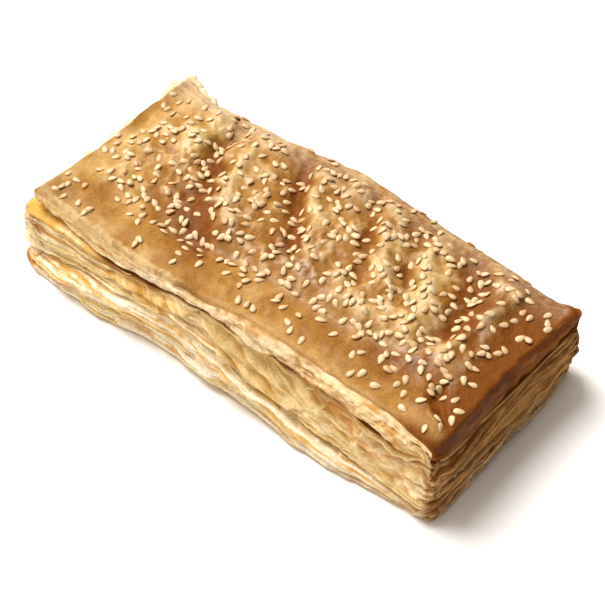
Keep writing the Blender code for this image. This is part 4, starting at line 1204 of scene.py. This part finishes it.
along = np.linspace(-1, 1, LEAF_COLUMNS)
leaf_walk = middle_of_leaf[:, None] + half[:, None] * along
leaf_level = np.clip(base_level[:, None] + slant[:, None] * 0.5 * along, 0.05, FOOT - 0.4)
root_out, root_height = wall_at(leaf_walk.ravel(), leaf_level.ravel())
root_out, root_height = root_out.reshape(leaf_walk.shape), root_height.reshape(leaf_walk.shape)
number = np.arange(LEAF_COUNT)[:, None] + 0.0
fray = 0.85 + 0.25 * round_grain(leaf_walk, 1.5 * MM, number, 91)
fray = fray + 0.35 * round_grain(leaf_walk, 7 * MM, number, 92)
taper = 1 - along**4
free_length = reach[:, None] * fray * taper
free_out = root_out + LEAF_STANDS_OUT * taper + free_length * np.cos(droop)[:, None]
free_height = root_height - free_length * np.sin(droop)[:, None]
strip_out, strip_height = leaf_strips(
    root_out - LEAF_ROOTED, root_height + LEAF_RAISED, free_out, free_height, 0.25 * free_length
)
strip_walk = np.broadcast_to(leaf_walk[..., None], strip_out.shape)
strips = place(strip_walk.ravel(), strip_out.ravel(), strip_height.ravel())

over = np.concatenate([np.linspace(0, 1, LEAF_ROWS), np.linspace(1, 0, LEAF_ROWS)])
strip_tone = draw.uniform(0, 1, (LEAF_COUNT, 1, 1))
strip_tone[flakes] = 1.1
strip_colour = blend("#b97a28", "#e0bc74", np.broadcast_to(0.3 + 0.6 * strip_tone, strip_out.shape))
strip_colour = tint(strip_colour, "#efdaa4", np.broadcast_to(0.85 * over**2, strip_out.shape))
strip_colour[flakes] = tint(strip_colour[flakes], "#f1deb8", np.full(strip_out[flakes].shape, 0.85))
# Painted shade: leaves on the right end are coloured dark brown, as that end faces away from the lamp.
_, _, _, shaded_strip_end, _ = facing_shares(strip_walk.ravel())
strip_colour = tint(strip_colour.reshape(-1, 3), "#7a4315", 0.7 * shaded_strip_end)
loose_leaves = add_mesh("loose_leaves", strips, leaf_faces(LEAF_COUNT), torn_dough)
dress(loose_leaves, strip_colour, 0.1)

# ---------------------------------------------------------------- sesame
#
# Hulled sesame, pressed into the wet egg wash before baking: flat drops, cream with toasted
# tips, each lying its own way.

SEED_LENGTH = 3.25 * MM
SEED_WIDTH = 2.0 * MM
SEED_TOP = 0.43 * MM
SEED_RAISED = 0.16 * MM
SEED_TIP_TAPER = 0.35
SEED_COUNT = 200
SEED_SPACING = 3.7 * MM
SEED_RANDOM = 5
SEED_TILT_RANDOM = 71
SECOND_COUNT = 350
SECOND_SPACING = 1.8 * MM
LEANING_GAP = 2.7 * MM
LEANING_RAISED = 0.35 * MM
SLOPE_STEP = 1.2 * MM


def seed_share(x, y):
    """How thickly seeds lie at a place, 0 to 1: most down the middle and in the groove."""
    ends = smoothstep(-82 * MM, -62 * MM, x) * smoothstep(81 * MM, 70 * MM, x)
    near = 0.12 + 0.88 * smoothstep(-29 * MM, -18 * MM, y)
    far = smoothstep(37 * MM, 27 * MM, y)
    groove = bell(y, through(x, *GROOVE_LINE), 5 * MM)
    inside = smoothstep(-36 * MM, -33 * MM, y) * smoothstep(82 * MM, 80 * MM, np.abs(x))
    return (0.12 + 0.5 * ends * near * far + 0.38 * groove * ends) * inside


def scatter_seeds():
    """Places (x, y), headings and rests for the seeds, drawn one by one and kept if there is room.

    The first ones keep clear of each other, and the later ones may lean on them.
    """
    draw = np.random.default_rng(SEED_RANDOM)
    placed = np.zeros((0, 4))
    while len(placed) < SEED_COUNT + SECOND_COUNT:
        x = draw.uniform(-HALF_LENGTH, HALF_LENGTH)
        y = draw.uniform(-HALF_WIDTH, HALF_WIDTH)
        wanted = draw.random() < seed_share(x, y)
        heading = draw.uniform(0, 2 * math.pi)
        gap = np.hypot(placed[:, 0] - x, placed[:, 1] - y)
        room = SEED_SPACING if len(placed) < SEED_COUNT else SECOND_SPACING
        if wanted and not np.any(gap < room):
            leaning = np.any(gap < LEANING_GAP)
            placed = np.vstack([placed, (x, y, heading, leaning)])
    return placed


def seed_shape():
    """A closed drop: an oval with a pointed end, from rings along its length."""
    rings, sides = 7, 8
    along = -np.cos(np.linspace(0, math.pi, rings + 2)[1:-1])
    girth = np.sqrt(1 - along**2) * (1 - SEED_TIP_TAPER * along)
    around = np.arange(sides) * 2 * math.pi / sides
    ring_x = np.repeat(along, sides)
    ring_y = np.outer(girth, np.cos(around)).ravel()
    ring_z = np.outer(girth, np.sin(around)).ravel()
    points = np.vstack([np.stack([ring_x, ring_y, ring_z], -1), [(-1, 0, 0), (1, 0, 0)]])
    points *= (SEED_LENGTH / 2, SEED_WIDTH / 2, SEED_TOP)
    index = np.arange(rings * sides).reshape(rings, sides)
    quads = np.stack([index[:-1], index[1:], np.roll(index[1:], -1, 1), np.roll(index[:-1], -1, 1)], -1)
    blunt = [(rings * sides, a, b) for a, b in zip(index[0], np.roll(index[0], -1))]
    tip = [(rings * sides + 1, b, a) for a, b in zip(index[-1], np.roll(index[-1], -1))]
    return points, quads.reshape(-1, 4), np.array(blunt + tip)


drop, drop_quads, drop_ends = seed_shape()
placed = scatter_seeds()
draw = np.random.default_rng(SEED_TILT_RANDOM)
at_u, at_v = placed[:, 0] / HALF_LENGTH, placed[:, 1] / HALF_WIDTH


def crust_at(shift_x, shift_y):
    """Crust points a step away from every seed's place."""
    return crust_surface(at_u + shift_x / HALF_LENGTH, at_v + shift_y / HALF_WIDTH)[0]


here = crust_at(0, 0)
rightward = crust_at(SLOPE_STEP, 0) - crust_at(-SLOPE_STEP, 0)
normal = np.cross(rightward, crust_at(0, SLOPE_STEP) - crust_at(0, -SLOPE_STEP))
normal += draw.normal(0, 0.12, normal.shape) * np.linalg.norm(normal, axis=1)[:, None]
normal /= np.linalg.norm(normal, axis=1)[:, None]
heading = np.stack([np.cos(placed[:, 2]), np.sin(placed[:, 2]), np.zeros(len(placed))], -1)
heading -= normal * np.sum(normal * heading, 1)[:, None]
heading /= np.linalg.norm(heading, axis=1)[:, None]
sideways = np.cross(normal, heading)
size = draw.normal(1, 0.06, (len(placed), 1, 1))
shape = drop[None] * size
raised = SEED_RAISED + placed[:, 3] * LEANING_RAISED
seeds = (
    here[:, None]
    + normal[:, None] * raised[:, None, None]
    + heading[:, None] * shape[..., :1]
    + sideways[:, None] * shape[..., 1:2]
    + normal[:, None] * shape[..., 2:]
)
offsets = (np.arange(len(placed)) * len(drop))[:, None, None]
seed_quads, seed_ends = drop_quads[None] + offsets, drop_ends[None] + offsets
seed_faces = [*seed_quads.reshape(-1, 4).tolist(), *seed_ends.reshape(-1, 3).tolist()]
toast = draw.uniform(0, 1, len(placed))[:, None]
tip_share = smoothstep(0.2, 1, drop[:, 0] / (SEED_LENGTH / 2))[None] * np.ones_like(toast)
# The seed's underside, where it meets the crust, is darker: partly toasted and partly painted shade.
underside_toast_and_shade = smoothstep(0.2, -0.6, drop[:, 2] / SEED_TOP)[None]
seed_colour = blend("#dec398", "#be864a", 0.5 * toast**3 + 0.4 * tip_share + 0.7 * underside_toast_and_shade)


def hulled_sesame():
    """Hulled sesame: smooth, faintly oily, pale cream, and lightly translucent.

    Points carry its toasted colour, with painted shade on the underside, which noise of 1.1 mm makes a
    little uneven.
    """
    material = bpy.data.materials.new("hulled_sesame")
    material.use_nodes = True
    tree = material.node_tree
    shader = tree.nodes["Principled BSDF"]
    where = add_node(tree, "ShaderNodeTexCoord").outputs["Object"]
    baked = add_node(tree, "ShaderNodeAttribute", attribute_name="baked").outputs["Color"]
    cloud = add_node(tree, "ShaderNodeTexNoise", {"Vector": where, "Scale": 1 / (1.1 * MM), "Detail": 2})
    ranges = {"From Min": 0.3, "From Max": 0.7, "To Min": 0.9, "To Max": 1.08}
    shade = add_node(tree, "ShaderNodeMapRange", {"Value": cloud.outputs["Fac"], **ranges})
    tinted = add_node(
        tree, "ShaderNodeVectorMath", {0: baked, "Scale": shade.outputs["Result"]}, operation="SCALE"
    )
    tree.links.new(tinted.outputs["Vector"], shader.inputs["Base Color"])
    shader.inputs["Roughness"].default_value = 0.38
    shader.inputs["IOR"].default_value = 1.47
    shader.inputs["Subsurface Weight"].default_value = 0.2
    shader.inputs["Subsurface Radius"].default_value = (1.0, 0.6, 0.3)
    shader.inputs["Subsurface Scale"].default_value = 0.8 * MM
    return material


sesame = add_mesh("sesame", seeds.reshape(-1, 3), seed_faces, hulled_sesame())
dress(sesame, seed_colour.reshape(-1, 3), 0)
